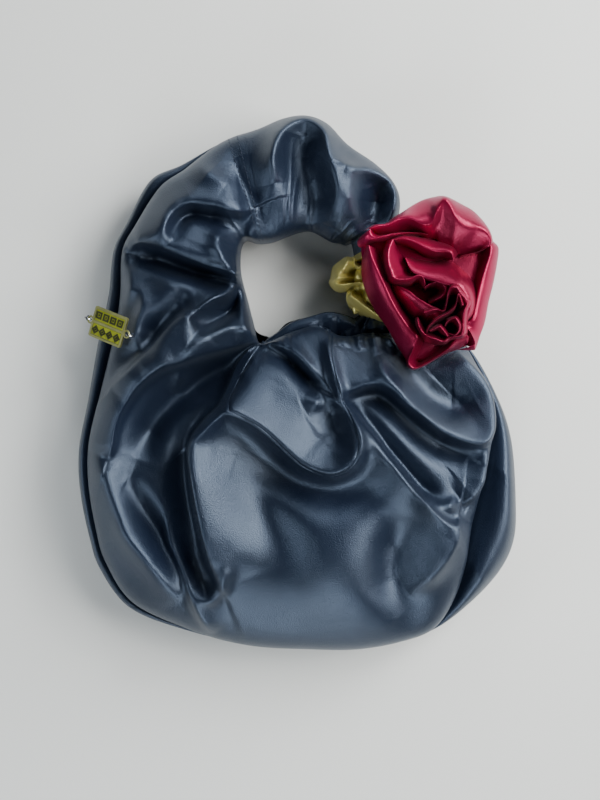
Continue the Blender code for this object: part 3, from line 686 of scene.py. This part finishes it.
def stitches(line, length=2.1, gap=1.3, raised=0.25):
    """Short straight stitches along a line of points."""
    line = np.array(line, dtype=float)
    steps = np.linalg.norm(np.diff(line, axis=0), axis=1)
    along = np.concatenate([[0], np.cumsum(steps)])
    out = []
    place = 0.0
    while place + length < along[-1]:
        spots = np.linspace(place, place + length, 4)
        stitch = np.column_stack([np.interp(spots, along, line[:, i]) for i in range(3)])
        stitch[:, 2] += raised + np.array([-0.25, 0.1, 0.1, -0.25])
        out.append(stitch)
        place += length + gap
    return out


def clean(obj):
    """Join doubled points and turn the faces outwards."""
    work = bmesh.new()
    work.from_mesh(obj.data)
    bmesh.ops.remove_doubles(work, verts=work.verts, dist=1e-6)
    bmesh.ops.recalc_face_normals(work, faces=work.faces)
    work.to_mesh(obj.data)
    work.free()
    obj.data.shade_smooth()


# ---------------------------------------------------------------- materials

def node(tree, kind, **settings):
    made = tree.nodes.new(kind)
    for key, value in settings.items():
        if key in made.inputs:
            made.inputs[key].default_value = value
        else:
            setattr(made, key, value)
    return made


def new_material(name, roughness, specular=0.5, metallic=0.0):
    material = bpy.data.materials.new(name)
    material.use_nodes = True
    tree = material.node_tree
    shader = tree.nodes["Principled BSDF"]
    shader.inputs["Roughness"].default_value = roughness
    shader.inputs["Specular IOR Level"].default_value = specular
    shader.inputs["Metallic"].default_value = metallic
    return material, tree, shader


def two_tones(tree, shader, dark, light, scale, low=0.3, high=0.72):
    """Colour that drifts between two tones over noise of the given scale."""
    place = node(tree, "ShaderNodeTexCoord")
    drift = node(tree, "ShaderNodeTexNoise", Scale=scale, Detail=3.0)
    ramp = node(tree, "ShaderNodeValToRGB")
    ramp.color_ramp.elements[0].position = low
    ramp.color_ramp.elements[0].color = (*dark, 1)
    ramp.color_ramp.elements[1].position = high
    ramp.color_ramp.elements[1].color = (*light, 1)
    tree.links.new(place.outputs["Object"], drift.inputs["Vector"])
    tree.links.new(drift.outputs["Fac"], ramp.inputs["Fac"])
    tree.links.new(ramp.outputs["Color"], shader.inputs["Base Color"])
    return place


def bumps(tree, shader, place, *layers):
    """Noise bumps, each (scale, strength, distance, detail), one on top of the other."""
    normal = None
    for scale, strength, distance, detail in layers:
        noise = node(tree, "ShaderNodeTexNoise", Scale=scale, Detail=detail, Roughness=0.5)
        bump = node(tree, "ShaderNodeBump", Strength=strength, Distance=distance)
        tree.links.new(place.outputs["Object"], noise.inputs["Vector"])
        tree.links.new(noise.outputs["Fac"], bump.inputs["Height"])
        if normal:
            tree.links.new(normal, bump.inputs["Normal"])
        normal = bump.outputs["Normal"]
    tree.links.new(normal, shader.inputs["Normal"])


def satin(name, dark, light, sheen, roughness=0.39, grain=0.5, wrinkle=0.14, shine=0.0):
    """Satin: colour drifting between two tones, yarn grain, soft creases and a pale sheen.

    shine is how much of the reflection takes the colour of the thread.
    """
    material, tree, shader = new_material(name, roughness, 1.0, shine)
    shader.inputs["Sheen Weight"].default_value = 0.04
    shader.inputs["Sheen Roughness"].default_value = 0.4
    shader.inputs["Sheen Tint"].default_value = (*sheen, 1)
    shader.inputs["Specular Tint"].default_value = (*sheen, 1)
    place = two_tones(tree, shader, dark, light, 14.0)
    bumps(
        tree, shader, place,
        (38.0, wrinkle, 0.004, 2.0),
        (110.0, wrinkle * 0.4, 0.0012, 2.0),
        (1300.0, grain, 0.0006, 2.0),
    )
    return material


def cloth(name, dark, light, scale=60.0, roughness=0.85, grain=0.5):
    """Matt cloth, felt, tape or thread."""
    material, tree, shader = new_material(name, roughness, 0.25)
    place = two_tones(tree, shader, dark, light, scale)
    bumps(tree, shader, place, (900.0, grain, 0.0004, 3.0))
    return material


def metal(name, dark, light, roughness=0.28):
    """Metal with a fine grain."""
    material, tree, shader = new_material(name, roughness, 0.5, 1.0)
    place = two_tones(tree, shader, dark, light, 90.0)
    bumps(tree, shader, place, (700.0, 0.12, 0.0002, 3.0))
    return material


def enamel(name, dark, light):
    """Dull enamel with an uneven surface."""
    material, tree, shader = new_material(name, 0.6, 0.25)
    place = two_tones(tree, shader, dark, light, 220.0)
    bumps(tree, shader, place, (320.0, 0.18, 0.0004, 2.0))
    return material


NAVY = satin("navy_satin_look", (0.0022, 0.0042, 0.0105), (0.004, 0.0078, 0.02), (0.6, 0.76, 1.0))
LINING = satin(
    "navy_lining_look", (0.004, 0.007, 0.014), (0.008, 0.012, 0.022), (0.6, 0.7, 1.0), 0.6
)
ROSE = satin(
    "rose_satin_look", (0.16, 0.003, 0.024), (0.46, 0.011, 0.078), (1.0, 0.45, 0.6), 0.3, 0.3,
    shine=0.6,
)
OLIVE = satin(
    "olive_satin_look", (0.36, 0.31, 0.08), (0.66, 0.58, 0.19), (0.95, 0.92, 0.6), 0.32, 0.25,
    shine=0.45,
)
FELT = cloth("felt_look", (0.05, 0.006, 0.012), (0.09, 0.012, 0.022))
TAPE = cloth("tape_look", (0.008, 0.012, 0.022), (0.014, 0.02, 0.034), 200.0)
ELASTIC = cloth("elastic_look", (0.5, 0.48, 0.4), (0.62, 0.6, 0.52), 300.0)
ENAMEL_MARK = enamel("badge_mark_look", (0.02, 0.022, 0.006), (0.05, 0.055, 0.012))
BADGE_METAL = metal("badge_metal_look", (0.3, 0.3, 0.12), (0.42, 0.42, 0.18), 0.5)
ENAMEL = enamel("badge_enamel_look", (0.24, 0.27, 0.012), (0.36, 0.39, 0.03))
RING_METAL = metal("ring_metal_look", (0.4, 0.41, 0.42), (0.66, 0.67, 0.68), 0.22)
SNAP_METAL = metal("snap_metal_look", (0.3, 0.3, 0.32), (0.5, 0.5, 0.52), 0.3)
THREAD = cloth("thread_look", (0.02, 0.028, 0.05), (0.05, 0.062, 0.09), 300.0)


# ---------------------------------------------------------------- bag

FRONT = np.linspace(0, math.pi, 250)
BACK = np.linspace(2 * math.pi, math.pi, 90)
AROUND = np.concatenate([FRONT, math.pi + np.linspace(0, math.pi, 90)[1:-1]])


def hold_at(angles, reach=0.3):
    """0 at the edges of a section, 1 on its upper face; 0 too on the band beside a tuck."""
    face = smoothstep(np.maximum(np.sin(angles), 0) / reach)
    return np.concatenate([np.zeros(BAND_COLUMNS), face])[None, :]


def wear(piece, body, slot_name, *nodes):
    """Fix a piece to its body and hide the CAD nodes that it stands for. slot_name is not used."""
    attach(piece, body)
    if nodes:
        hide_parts(*nodes)


# Outline of the mouth's front edge, the part of the front that lifts: left side, right side and
# lower border, the sides from the mouth down.
LIP_LEFT = ((-24, 29), (-32, 20), (-38, 10), (-43, -1), (-47, -11), (-46, -20))
LIP_RIGHT = ((26, 37), (25, 22), (27, 6), (31, -8), (37, -22), (42, -38))
LIP_BELOW = (
    (-46, -20), (-34, -26), (-24, -32), (-11, -44), (1, -55), (12, -61), (22, -63), (32, -60),
    (39, -52), (42, -38),
)
LIP_RAISE = 1.2  # how far the lip lies above the cloth around it
LIP_SINK = 2.2  # how far its border dips under that cloth
LIP_WELL = 4.6  # how far the fixed cloth drops under the lip
LIP_LINING_GAP = 2.4  # from the lip's satin down to its lining
HEM_RADIUS = 1.1


def inside_lip(flat, rim):
    """Distance of points inside the lip's border, below 0 outside. The mouth side is open."""
    below = smooth_curve(LIP_BELOW, 40)
    left = smooth_curve(LIP_LEFT, 24)
    right = smooth_curve(LIP_RIGHT, 24)
    open_end = rim + np.array([0.0, 30.0])
    loop = np.concatenate([left, below[1:-1], right[::-1], open_end[::-1]])
    distance = np.full(len(flat), 1e9)
    border = np.concatenate([left, below[1:-1], right[::-1]])
    for i in range(len(border) - 1):
        run = border[i + 1] - border[i]
        along = np.clip((flat - border[i]) @ run / (run @ run), 0, 1)
        apart = flat - border[i] - along[:, None] * run
        distance = np.minimum(distance, np.hypot(apart[:, 0], apart[:, 1]))
    inside = np.zeros(len(flat), bool)
    for i in range(len(loop)):
        p = loop[i]
        q = loop[(i + 1) % len(loop)]
        crosses = (p[1] > flat[:, 1]) != (q[1] > flat[:, 1])
        x = p[0] + (flat[:, 1] - p[1]) * (q[0] - p[0]) / (q[1] - p[1] + 1e-12)
        inside ^= crosses & (flat[:, 0] < x)
    return np.where(inside, distance, -distance)


def lip_plan(rim, rows=120, columns=130):
    """Plan points of the lip, [from mouth to border][left to right], between its four edges."""
    v = np.linspace(0, 1, rows)[:, None, None]
    u = np.linspace(0, 1, columns)[None, :, None]
    top = smooth_curve(rim, columns)[None, :, :]
    below = smooth_curve(LIP_BELOW, columns)[None, :, :]
    left = smooth_curve(LIP_LEFT, rows)[:, None, :]
    right = smooth_curve(LIP_RIGHT, rows)[:, None, :]
    corners = (
        (1 - u) * (1 - v) * top[:, :1] + u * (1 - v) * top[:, -1:]
        + (1 - u) * v * below[:, :1] + u * v * below[:, -1:]
    )
    return (1 - v) * top + v * below + (1 - u) * left + u * right - corners


def heights_from(grid, flat):
    """Height of a grid's surface above each plan point."""
    faces = grid_faces(*grid.shape[:2]).tolist()
    tree = BVHTree.FromPolygons(grid.reshape(-1, 3).tolist(), faces)
    down = Vector((0, 0, -1))
    out = np.full(len(flat), np.nan)
    for i, (x, y) in enumerate(flat):
        hit = tree.ray_cast(Vector((x, y, 200)), down)[0]
        if hit:
            out[i] = hit.z
    return out


def bend_with_mouth(piece, slot_name, *nodes):
    """Hide the CAD nodes that the piece stands for and bake its placement into its points."""
    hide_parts(*nodes)
    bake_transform(piece)


NOTCH = 6.0  # how far inside the lip's border the fixed cloth is open
NOTCH_Y = -2.0  # y below which it stays closed
LINING_GAP = 3.0  # from the satin in to the lining
CORE_DEPTH = 17.0  # from the satin in to the handle's filling
SEAM_RISE = 0.9  # how far the cloth stands up at the handle's stitched seam
THREAD_RADIUS = 0.22


def make_lip(front_grid):
    """The lifting edge of the mouth, its lining and the plan points of its rim."""
    rim_line = front_grid[:, -1, :2]
    between = (rim_line[:, 0] > LIP_LEFT[0][0]) & (rim_line[:, 0] < LIP_RIGHT[0][0])
    rim = rim_line[between][::-1]
    rim = rim[np.argsort(rim[:, 0])][::12]
    rim = np.concatenate([[LIP_LEFT[0]], rim[1:-1], [LIP_RIGHT[0]]])
    plan = lip_plan(rim)
    flat = plan.reshape(-1, 2)
    z = heights_from(front_grid, flat)
    z = z.reshape(plan.shape[:2])
    edge_z = np.nanmedian(front_grid[:, -1, 2][between])
    z[np.isnan(z)] = edge_z
    depth = inside_lip(flat, rim).reshape(z.shape)
    settle = smoothstep(np.maximum(depth, 0) / 5.0)
    z = soften(z + LIP_RAISE * settle - LIP_SINK * (1 - settle), 1)
    grid = np.concatenate([plan, z[..., None]], axis=-1)
    lip = grid_object("mouth_lip_skin", grid, NAVY, flip=True)
    thin = grid[::3, ::3].copy()
    thin[..., 2] -= LIP_LINING_GAP
    lining = grid_object("lip_lining_skin", thin, LINING)
    hem_line = grid[0].copy()
    hem_line[:, 2] -= 0.3
    hem = joined_tubes("mouth_hem", [hem_line[1:-1]], HEM_RADIUS, NAVY, sides=10)
    bend_with_mouth(lip, "navy_satin", "mouth_lip")
    bend_with_mouth(lining, "navy_lining", "lip_lining")
    bend_with_mouth(hem, "navy_satin")
    return rim


def make_pouch():
    """Front and back of the pouch; gives the front's points and which are left open."""
    t = np.linspace(0, POUCH_END, 600)
    pleats = gathers(t, FRONT, 0.7, 1.2, 11, 14.0)
    front_grid = sculpt(cloth_grid(t, FRONT, 0.0, 4.0, 1.0, True), hold_at(FRONT), pleats)
    rim = make_lip(front_grid[:, BAND_COLUMNS:])
    depth = inside_lip(front_grid[..., :2].reshape(-1, 2), rim).reshape(front_grid.shape[:2])
    well = front_grid.copy()
    well[..., 2] -= LIP_WELL * smoothstep((depth - 1.5) / 4.0)
    notch = (depth > NOTCH) & (well[..., 1] > NOTCH_Y)
    front = grid_object("pouch_front", well, NAVY, leave_out=notch)
    back_grid = cloth_grid(t, BACK, open_mouth=-1.0, inset=-6.0)
    rim_waves = 1.3 * value_noise(t * 2.2, np.full(len(t), 3.5), 21)[:, None]
    back_grid[..., 2] += rim_waves * smoothstep((np.arange(len(BACK)) - 60) / 29)[None, :]
    back = grid_object("pouch_back", back_grid, NAVY, flip=True)
    wear(front, "bag", "navy_satin", "front_panel")
    wear(back, "bag", "navy_satin", "back_panel")
    return well, notch


def make_handle():
    """Handle in two cuts that meet at the stitched seam."""
    for name, span, rows, old in (
        ("handle_left", (POUCH_END, HANDLE_SEAM), 190, "strap_left"),
        ("handle_right", (HANDLE_SEAM, LAST), 320, "strap_right"),
    ):
        t = np.linspace(*span, rows)
        pleats = gathers(t, AROUND, 0.7, 1.9, 12, 1.2)
        pleats = pleats * (1 - smoothstep((t - NECK_START + 2) / 1.5))[:, None]
        grid = sculpt(cloth_grid(t, AROUND, tucked=True), hold_at(AROUND), pleats)
        if old == "strap_left":
            flap = smoothstep((t - HANDLE_SEAM + 0.5) / 0.3)[:, None]
            grid[..., 2] += SEAM_RISE * flap * hold_at(AROUND)
            seam_rows = (grid[-7], grid[-14])
        piece = grid_object(name, grid, NAVY, wrap=True)
        wear(piece, "bag", "navy_satin", old)
    across = slice(BAND_COLUMNS + 20, BAND_COLUMNS + len(FRONT) - 14)
    sewn = [stitch for row in seam_rows for stitch in stitches(row[across])]
    seam = joined_tubes("handle_seam_stitches", sewn, THREAD_RADIUS, THREAD)
    wear(seam, "bag", "thread")


def make_linings(well, notch):
    """Linings of the pouch and the handle's filling."""
    thin = well[::4, BAND_COLUMNS::4].copy()
    thin[..., 2] -= LINING_GAP
    hole = notch[::4, BAND_COLUMNS::4]
    lining = grid_object("lining_front_skin", thin, LINING, flip=True, leave_out=hole)
    wear(lining, "bag", "navy_lining", "lining_front")
    t = np.linspace(0.3, POUCH_END - 0.3, 140)
    deep = cloth_grid(t, BACK[::2], depth=LINING_GAP, open_mouth=2.0)
    lining_back = grid_object("lining_back_skin", deep, LINING)
    wear(lining_back, "bag", "navy_lining", "lining_back")
    t = np.linspace(POUCH_END + 0.5, LAST - 0.3, 120)
    inner = cloth_grid(t, AROUND[::5], depth=CORE_DEPTH)
    core = grid_object("handle_filling", inner, LINING, wrap=True)
    wear(core, "bag", "navy_lining", "handle_core")


# ---------------------------------------------------------------- rose

PETAL_OUTSIDE = 16  # rows of points from the outer foot to the rim
PETAL_INSIDE = 12  # and from the rim down the inner side
PETAL_SWELL = 0.8  # below 1 the outer side is fuller than a quarter circle
PETAL_DROP = 13.0  # how far the inner side runs down
PETAL_SHORTEST = 6.0  # least height of the outer side


def petal_grid(stations, floor, spans=150):
    """Folded strip: from its outer foot over a sharp folded rim and down its inner side."""
    rows = smooth_curve(stations, spans)
    outer, rim, inner, high = rows[:, 0:2], rows[:, 2:4], rows[:, 4:6], rows[:, 6]
    out = []
    foot = np.minimum(np.full(spans, floor), high - PETAL_SHORTEST)
    for i in range(PETAL_OUTSIDE):
        p = i / (PETAL_OUTSIDE - 1)
        swell = math.sin(p * math.pi / 2)
        flat = outer * (1 - p) + rim * p
        z = foot + (high - foot) * swell ** PETAL_SWELL
        out.append(np.column_stack([flat, z]))
    for i in range(1, PETAL_INSIDE):
        p = i / (PETAL_INSIDE - 1)
        flat = rim * (1 - p) + inner * p
        z = high - (0.6 + PETAL_DROP * p) * (1 - math.exp(-4 * p)) - 0.2
        out.append(np.column_stack([flat, z]))
    return np.stack(out, axis=1)


# Outline of the rose as seen from above.
ROSE_OUTLINE = (
    (40, 91), (50, 103), (72, 114), (90, 122), (107, 116), (125, 95), (130, 77), (124, 51),
    (115, 25), (97, 19), (78, 12), (61, 33), (46, 66),
)
ROSE_CENTRE = (92.0, 66.0)
PETAL_FLOOR = 58.0  # where the petals' outer feet stand
OLIVE_FLOOR = 30.0  # the same for the scrunchie's folds


# Rings of the underside: share of the outline, height.
UNDERSIDE_RINGS = (
    (0.0, 57.2), (0.5, 57.2), (0.93, 57.4), (0.96, 58.6), (0.9, 60), (0.6, 63), (0.0, 64),
)


def make_rose_underside():
    """Dished satin floor under the petals, closed below, so that no gap shows through."""
    edge = smooth_curve(ROSE_OUTLINE, 120, closed=True)
    middle = np.array(ROSE_CENTRE)
    rings = []
    for share, z in UNDERSIDE_RINGS:
        flat = middle + (edge - middle) * share
        rings.append(np.column_stack([flat, np.full(len(flat), z)]))
    obj = grid_object("rose_underside", np.array(rings), ROSE, wrap=True)
    clean(obj)
    wear(obj, "rose", "rose_satin")


OLD_PETALS = {
    "top_petal": ("rose_petal_outer_1", "rose_petal_outer_2"),
    "right_petal": ("rose_petal_outer_5",),
    "left_petal": ("rose_petal_outer_3", "rose_petal_outer_4"),
    "rolled_lobe": (),
    "second_petal": (),
    "sweep_petal": ("rose_petal_inner_1",),
    "triangle_petal": ("rose_petal_inner_2",),
    "curl_petal": (),
    "low_petal": ("rose_petal_inner_3",),
    "bud_outer": ("rose_core",),
    "bud_middle": (),
    "bud_inner": (),
    "bud_point": (),
}


def make_rose():
    for name, stations in PETALS:
        grid = petal_grid(stations, PETAL_FLOOR)
        petal = grid_object("rose_" + name, grid, ROSE)
        wear(petal, "rose", "rose_satin", *OLD_PETALS[name])


# ---------------------------------------------------------------- scrunchie

NECK_CENTRE = (Vector(NECK_TOP) + Vector(NECK_LOW)) / 2
NECK_RUN = (Vector(NECK_LOW) - Vector(NECK_TOP)).normalized()
NECK_SIDE = Vector((NECK_RUN.y, -NECK_RUN.x))  # to the left of the picture


def neck_point(along, radius, angle):
    """Point around the neck: angle 0 to its left, a quarter turn up from the table."""
    flat_x = NECK_CENTRE.x + NECK_RUN.x * along + NECK_SIDE.x * radius * np.cos(angle)
    flat_y = NECK_CENTRE.y + NECK_RUN.y * along + NECK_SIDE.y * radius * np.cos(angle)
    return np.stack([flat_x, flat_y, NECK_Z + radius * np.sin(angle)], axis=-1)


RUFFLE_SHARES = (1.0, 0.6, 0.45, 0.3)  # strength of each set of pleats, the finer ones last
RUFFLE_FINER = 0.37  # how much finer each set is than the one before
RUFFLE_SCALE = 1.6  # brings the sets together to about 1
RUFFLE_DEPTH = 0.28  # how far the pleats change the ring's size, as a share of it
RUFFLE_WIDEN = 0.12  # the same for its width
RUFFLE_PINCH = 0.16  # how far its section is pinched
RUFFLE_SWAY = 1.2  # how far the pleats sway along the neck


def ruffle_grid(middle, half, radius, puff, pleats, seed):
    """Pleated ring of satin round the neck."""
    chance = np.random.default_rng(seed)
    around = np.linspace(0, 2 * math.pi, 360, endpoint=False)
    across = np.linspace(0, 2 * math.pi, 60, endpoint=False)
    phase = chance.uniform(0, 6.28, len(RUFFLE_SHARES) + 1)
    fold = np.zeros_like(around)
    for i, share in enumerate(RUFFLE_SHARES):
        fold += share * np.sin(pleats * (1 + RUFFLE_FINER * i) // 1 * around + phase[i])
    fold /= RUFFLE_SCALE
    size = puff * (1 + RUFFLE_DEPTH * fold)
    a = around[:, None]
    b = across[None, :]
    pinch = 1 + RUFFLE_PINCH * np.sin(3 * b + phase[-1] + 2 * fold[:, None])
    r = radius + (size[:, None] * (1 + np.cos(b)) / 2 * pinch)
    along = middle + (half * (1 + RUFFLE_WIDEN * fold))[:, None] * np.sin(b) * pinch
    along = along + RUFFLE_SWAY * fold[:, None] * np.cos(b)
    return neck_point(along, r, a + 0 * b)


def closed_ring(name, grid, material):
    """Mesh object over a grid that joins up both ways."""
    grid = np.concatenate([grid, grid[:1]], axis=0)
    obj = grid_object(name, grid, material, wrap=True)
    clean(obj)
    return obj


# Top edge of the mouth's back lip, from the hand hole's corner to the neck.
BACK_LIP = (
    (-25, 26, 31), (-20, 29.5, 33.5), (-12, 35, 35.5), (-4, 40.5, 36.5), (9, 44.5, 37),
    (21, 47.5, 37), (31, 46, 36.5), (41, 42, 35),
)
BACK_LIP_DROP = 15  # how far it runs down under the front of the mouth
# Its section from the far side over the edge: share of the way down, step towards the far side,
# and height against the edge.
BACK_LIP_SECTION = (
    (0, 0.6, -7), (0, 1.2, -3), (0, 0.5, -0.6), (0.06, 0, 0), (0.4, 0, -1), (1, 0, -7),
)


def make_back_lip():
    edge = smooth_curve(BACK_LIP, 150)
    rows = smooth_curve(BACK_LIP_SECTION, 40)
    along = np.arange(len(edge)) * 0.045
    down = rows[None, :, 0]
    pleat = 1.5 * np.abs(value_noise(along[:, None] * 1.6 + down * 0.5, down * 0.7 + 3, 41))
    x = edge[:, :1] + down * 3
    y = edge[:, 1:2] - down * BACK_LIP_DROP + rows[None, :, 1]
    z = edge[:, 2:3] + rows[None, :, 2] + pleat * smoothstep(down / 0.3)
    obj = grid_object("mouth_back_lip", np.stack([x, y, z], axis=-1), NAVY)
    wear(obj, "bag", "navy_satin")


# Gathers where the bag's cloth runs up to the neck: how far down the neck, half width, half
# height.
FLARE = (
    (15, 14.6, 14.4), (18, 15.5, 14.6), (21, 20, 14.4), (25, 27, 13.6), (30, 32, 12), (40, 34, 9),
)


def make_neck_gathers():
    rows = smooth_curve(FLARE, 70)
    around = np.linspace(-0.35, math.pi + 0.35, 240)[None, :]
    grow = smoothstep((rows[:, 0] - 15) / 9)[:, None]
    wave = value_noise(around * 5.2 + 2, rows[:, :1] * 0.05, 31)
    fine = value_noise(around * 10.5 + 7, rows[:, :1] * 0.09, 32)
    pleat = grow * (2.6 * (1 - 2 * np.abs(wave)) + 0.9 * fine)
    wide = rows[:, 1:2] + pleat * 1.2
    tall = rows[:, 2:3] + pleat
    x = NECK_CENTRE.x + NECK_RUN.x * rows[:, :1] + NECK_SIDE.x * wide * np.cos(around)
    y = NECK_CENTRE.y + NECK_RUN.y * rows[:, :1] + NECK_SIDE.y * wide * np.cos(around)
    z = NECK_Z + tall * np.sin(around)
    obj = grid_object("neck_gathers", np.stack([x, y, z], axis=-1), NAVY)
    wear(obj, "bag", "navy_satin")


def make_scrunchie():
    upper = ruffle_grid(-7.5, 8.0, 16.9, 6.5, 6, 3)
    lower = ruffle_grid(7.0, 8.0, 16.9, 6.0, 6, 5)
    up = closed_ring("scrunchie_upper_fold", upper, OLIVE)
    low = closed_ring("scrunchie_lower_fold", lower, OLIVE)
    wear(up, "rose", "olive_satin", "scrunchie_ruffle_upper", "scrunchie_sleeve")
    wear(low, "rose", "olive_satin", "scrunchie_ruffle_lower")
    for name, stations in OLIVE_FOLDS:
        fold = grid_object("scrunchie_" + name, petal_grid(stations, OLIVE_FLOOR), OLIVE)
        wear(fold, "rose", "olive_satin")


# ---------------------------------------------------------------- badge

BADGE_PLACE = (-126.0, 37.5, 51.0)
BADGE_TILT = -30.0
BADGE_TURN = -19.6
ENAMEL_TOP = 0.65
MARK_RISE = 0.4


MARK_PITCH = 6.2
MARK_COLUMNS = 4
FIRST_MARK = -9.3
# Rows of marks: place across the badge, turn in degrees, size.
MARK_ROWS = ((5.0, 0.0, 4.9), (-5.0, 45.0, 4.3))
MARK_WALL = 1.1
STUD_HALF = 0.55


def make_badge_marks():
    """Raised geometric marks in the two enamel fields: squares above, diamonds below."""
    lean = Matrix.Rotation(math.radians(BADGE_TILT), 4, "Y")
    turn = Matrix.Rotation(math.radians(BADGE_TURN), 4, "Z")
    frame_of_badge = Matrix.Translation(Vector(BADGE_PLACE) * unit) @ lean @ turn
    work = bmesh.new()
    for row, spin, size in MARK_ROWS:
        for column in range(MARK_COLUMNS):
            add_mark(work, FIRST_MARK + MARK_PITCH * column, row, size, spin)
    mesh = bpy.data.meshes.new("badge_marks")
    work.to_mesh(mesh)
    work.free()
    mesh.transform(frame_of_badge)
    marks = link_object("badge_marks", mesh, ENAMEL_MARK)
    mesh.shade_flat()
    wear(marks, "badge", "badge_enamel")


def add_mark(work, x, y, size, spin):
    """A raised square frame with a stud in its middle, turned by spin degrees."""
    base = ENAMEL_TOP * unit
    top = (ENAMEL_TOP + MARK_RISE) * unit
    turn = Matrix.Rotation(math.radians(spin), 3, "Z")
    half = size / 2
    rings = ((half, base), (half, top), (half - MARK_WALL, top), (half - MARK_WALL, base))
    corners = ((-1, -1), (1, -1), (1, 1), (-1, 1))
    loops = []
    for reach, z in rings:
        loop = []
        for u, v in corners:
            spot = turn @ Vector((u * reach, v * reach, 0))
            loop.append(work.verts.new(((x + spot.x) * unit, (y + spot.y) * unit, z)))
        loops.append(loop)
    for inner, outer in zip(loops, loops[1:]):
        for i in range(4):
            j = (i + 1) % 4
            work.faces.new((inner[i], inner[j], outer[j], outer[i]))
    stud = [turn @ Vector((u * STUD_HALF, v * STUD_HALF, 0)) for u, v in corners]
    low = [work.verts.new(((x + p.x) * unit, (y + p.y) * unit, base)) for p in stud]
    high = [work.verts.new(((x + p.x) * unit, (y + p.y) * unit, top)) for p in stud]
    work.faces.new(high)
    for i in range(4):
        j = (i + 1) % 4
        work.faces.new((low[i], low[j], high[j], high[i]))


# ---------------------------------------------------------------- parts kept from the CAD model

KEPT = (
    ("mouth_tape_back", TAPE), ("mouth_tape_front", TAPE), ("snap_socket", SNAP_METAL),
    ("snap_stud", SNAP_METAL), ("scrunchie_elastic", ELASTIC), ("rose_base", FELT),
    ("badge_plate", BADGE_METAL), ("badge_enamel_upper", ENAMEL),
    ("badge_enamel_lower", ENAMEL), ("badge_ring_left", RING_METAL),
    ("badge_ring_right", RING_METAL), ("badge_thread_left", THREAD),
    ("badge_thread_right", THREAD),
)


def dress_kept_parts():
    for name, material in KEPT:
        obj = bpy.data.objects[name]
        obj.data.materials.clear()
        obj.data.materials.append(material)


# ---------------------------------------------------------------- stage

def make_stage():
    mesh = bpy.data.meshes.new("floor")
    size = 3.0
    corners = [(-size, -size, 0), (size, -size, 0), (size, size, 0), (-size, size, 0)]
    mesh.from_pydata(corners, [], [(0, 1, 2, 3)])
    material, _, shader = new_material("floor_look", 0.9, 0.1)
    shader.inputs["Base Color"].default_value = (0.74, 0.75, 0.72, 1)
    floor = link_object("floor", mesh, material)


def area_light(name, place, target, size, power, colour=(1, 1, 1)):
    data = bpy.data.lights.new(name, "AREA")
    data.shape = "RECTANGLE"
    data.size, data.size_y = size
    data.energy = power
    data.color = colour
    light = bpy.data.objects.new(name, data)
    bpy.context.scene.collection.objects.link(light)
    light.location = place
    light.rotation_euler = (Vector(target) - Vector(place)).to_track_quat("-Z", "Y").to_euler()
    return light


# Windows round the bag: name, compass angle, height angle, size in metres, power, colour.
WINDOWS = (
    ("window_upper_right", 40, 32, 0.55, 17.0, (0.98, 0.99, 1.0)),
    ("window_right", 0, 42, 0.55, 14.0, (1.0, 0.99, 0.97)),
    ("window_far", 92, 32, 0.55, 4.5, (0.9, 0.95, 1.0)),
    ("window_near", 268, 32, 0.55, 8.5, (0.9, 0.95, 1.0)),
    ("window_left", 200, 30, 0.55, 5.5, (0.85, 0.92, 1.0)),
)
WINDOW_DISTANCE = 1.3


def make_lights():
    """Light mostly from the upper right, and a dark room, as satin is lit by what it reflects."""
    world = bpy.data.worlds.new("studio")
    bpy.context.scene.world = world
    world.use_nodes = True
    back = world.node_tree.nodes["Background"]
    back.inputs["Color"].default_value = (0.9, 0.95, 1.0, 1)
    back.inputs["Strength"].default_value = 0.012
    for name, compass, lift, size, power, colour in WINDOWS:
        flat = math.cos(math.radians(lift)) * WINDOW_DISTANCE
        place = (
            flat * math.cos(math.radians(compass)),
            flat * math.sin(math.radians(compass)),
            math.sin(math.radians(lift)) * WINDOW_DISTANCE,
        )
        area_light(name, place, (0, 0, 0), (size, size), power, colour)
    fill = area_light("fill", (0.8, 0.5, 1.1), (0, 0, 0), (0.6, 0.6), 12)
    fill.visible_glossy = False


def make_camera():
    """Straight above the bag. The picture's long side spans frame_height at the bag's middle."""
    height = 0.9
    middle = 0.03
    frame_height = 0.5464
    data = bpy.data.cameras.new("camera")
    data.sensor_fit = "VERTICAL"
    data.angle = 2 * math.atan(frame_height / 2 / (height - middle))
    camera = bpy.data.objects.new("camera", data)
    bpy.context.scene.collection.objects.link(camera)
    camera.location = (0.0017, -0.0113, height)
    bpy.context.scene.camera = camera


# ---------------------------------------------------------------- scene


make_stage()
make_lights()
make_camera()
dress_kept_parts()
front_points, open_points = make_pouch()
make_handle()
make_linings(front_points, open_points)
make_back_lip()
make_neck_gathers()
make_scrunchie()
make_badge_marks()
make_rose()
make_rose_underside()
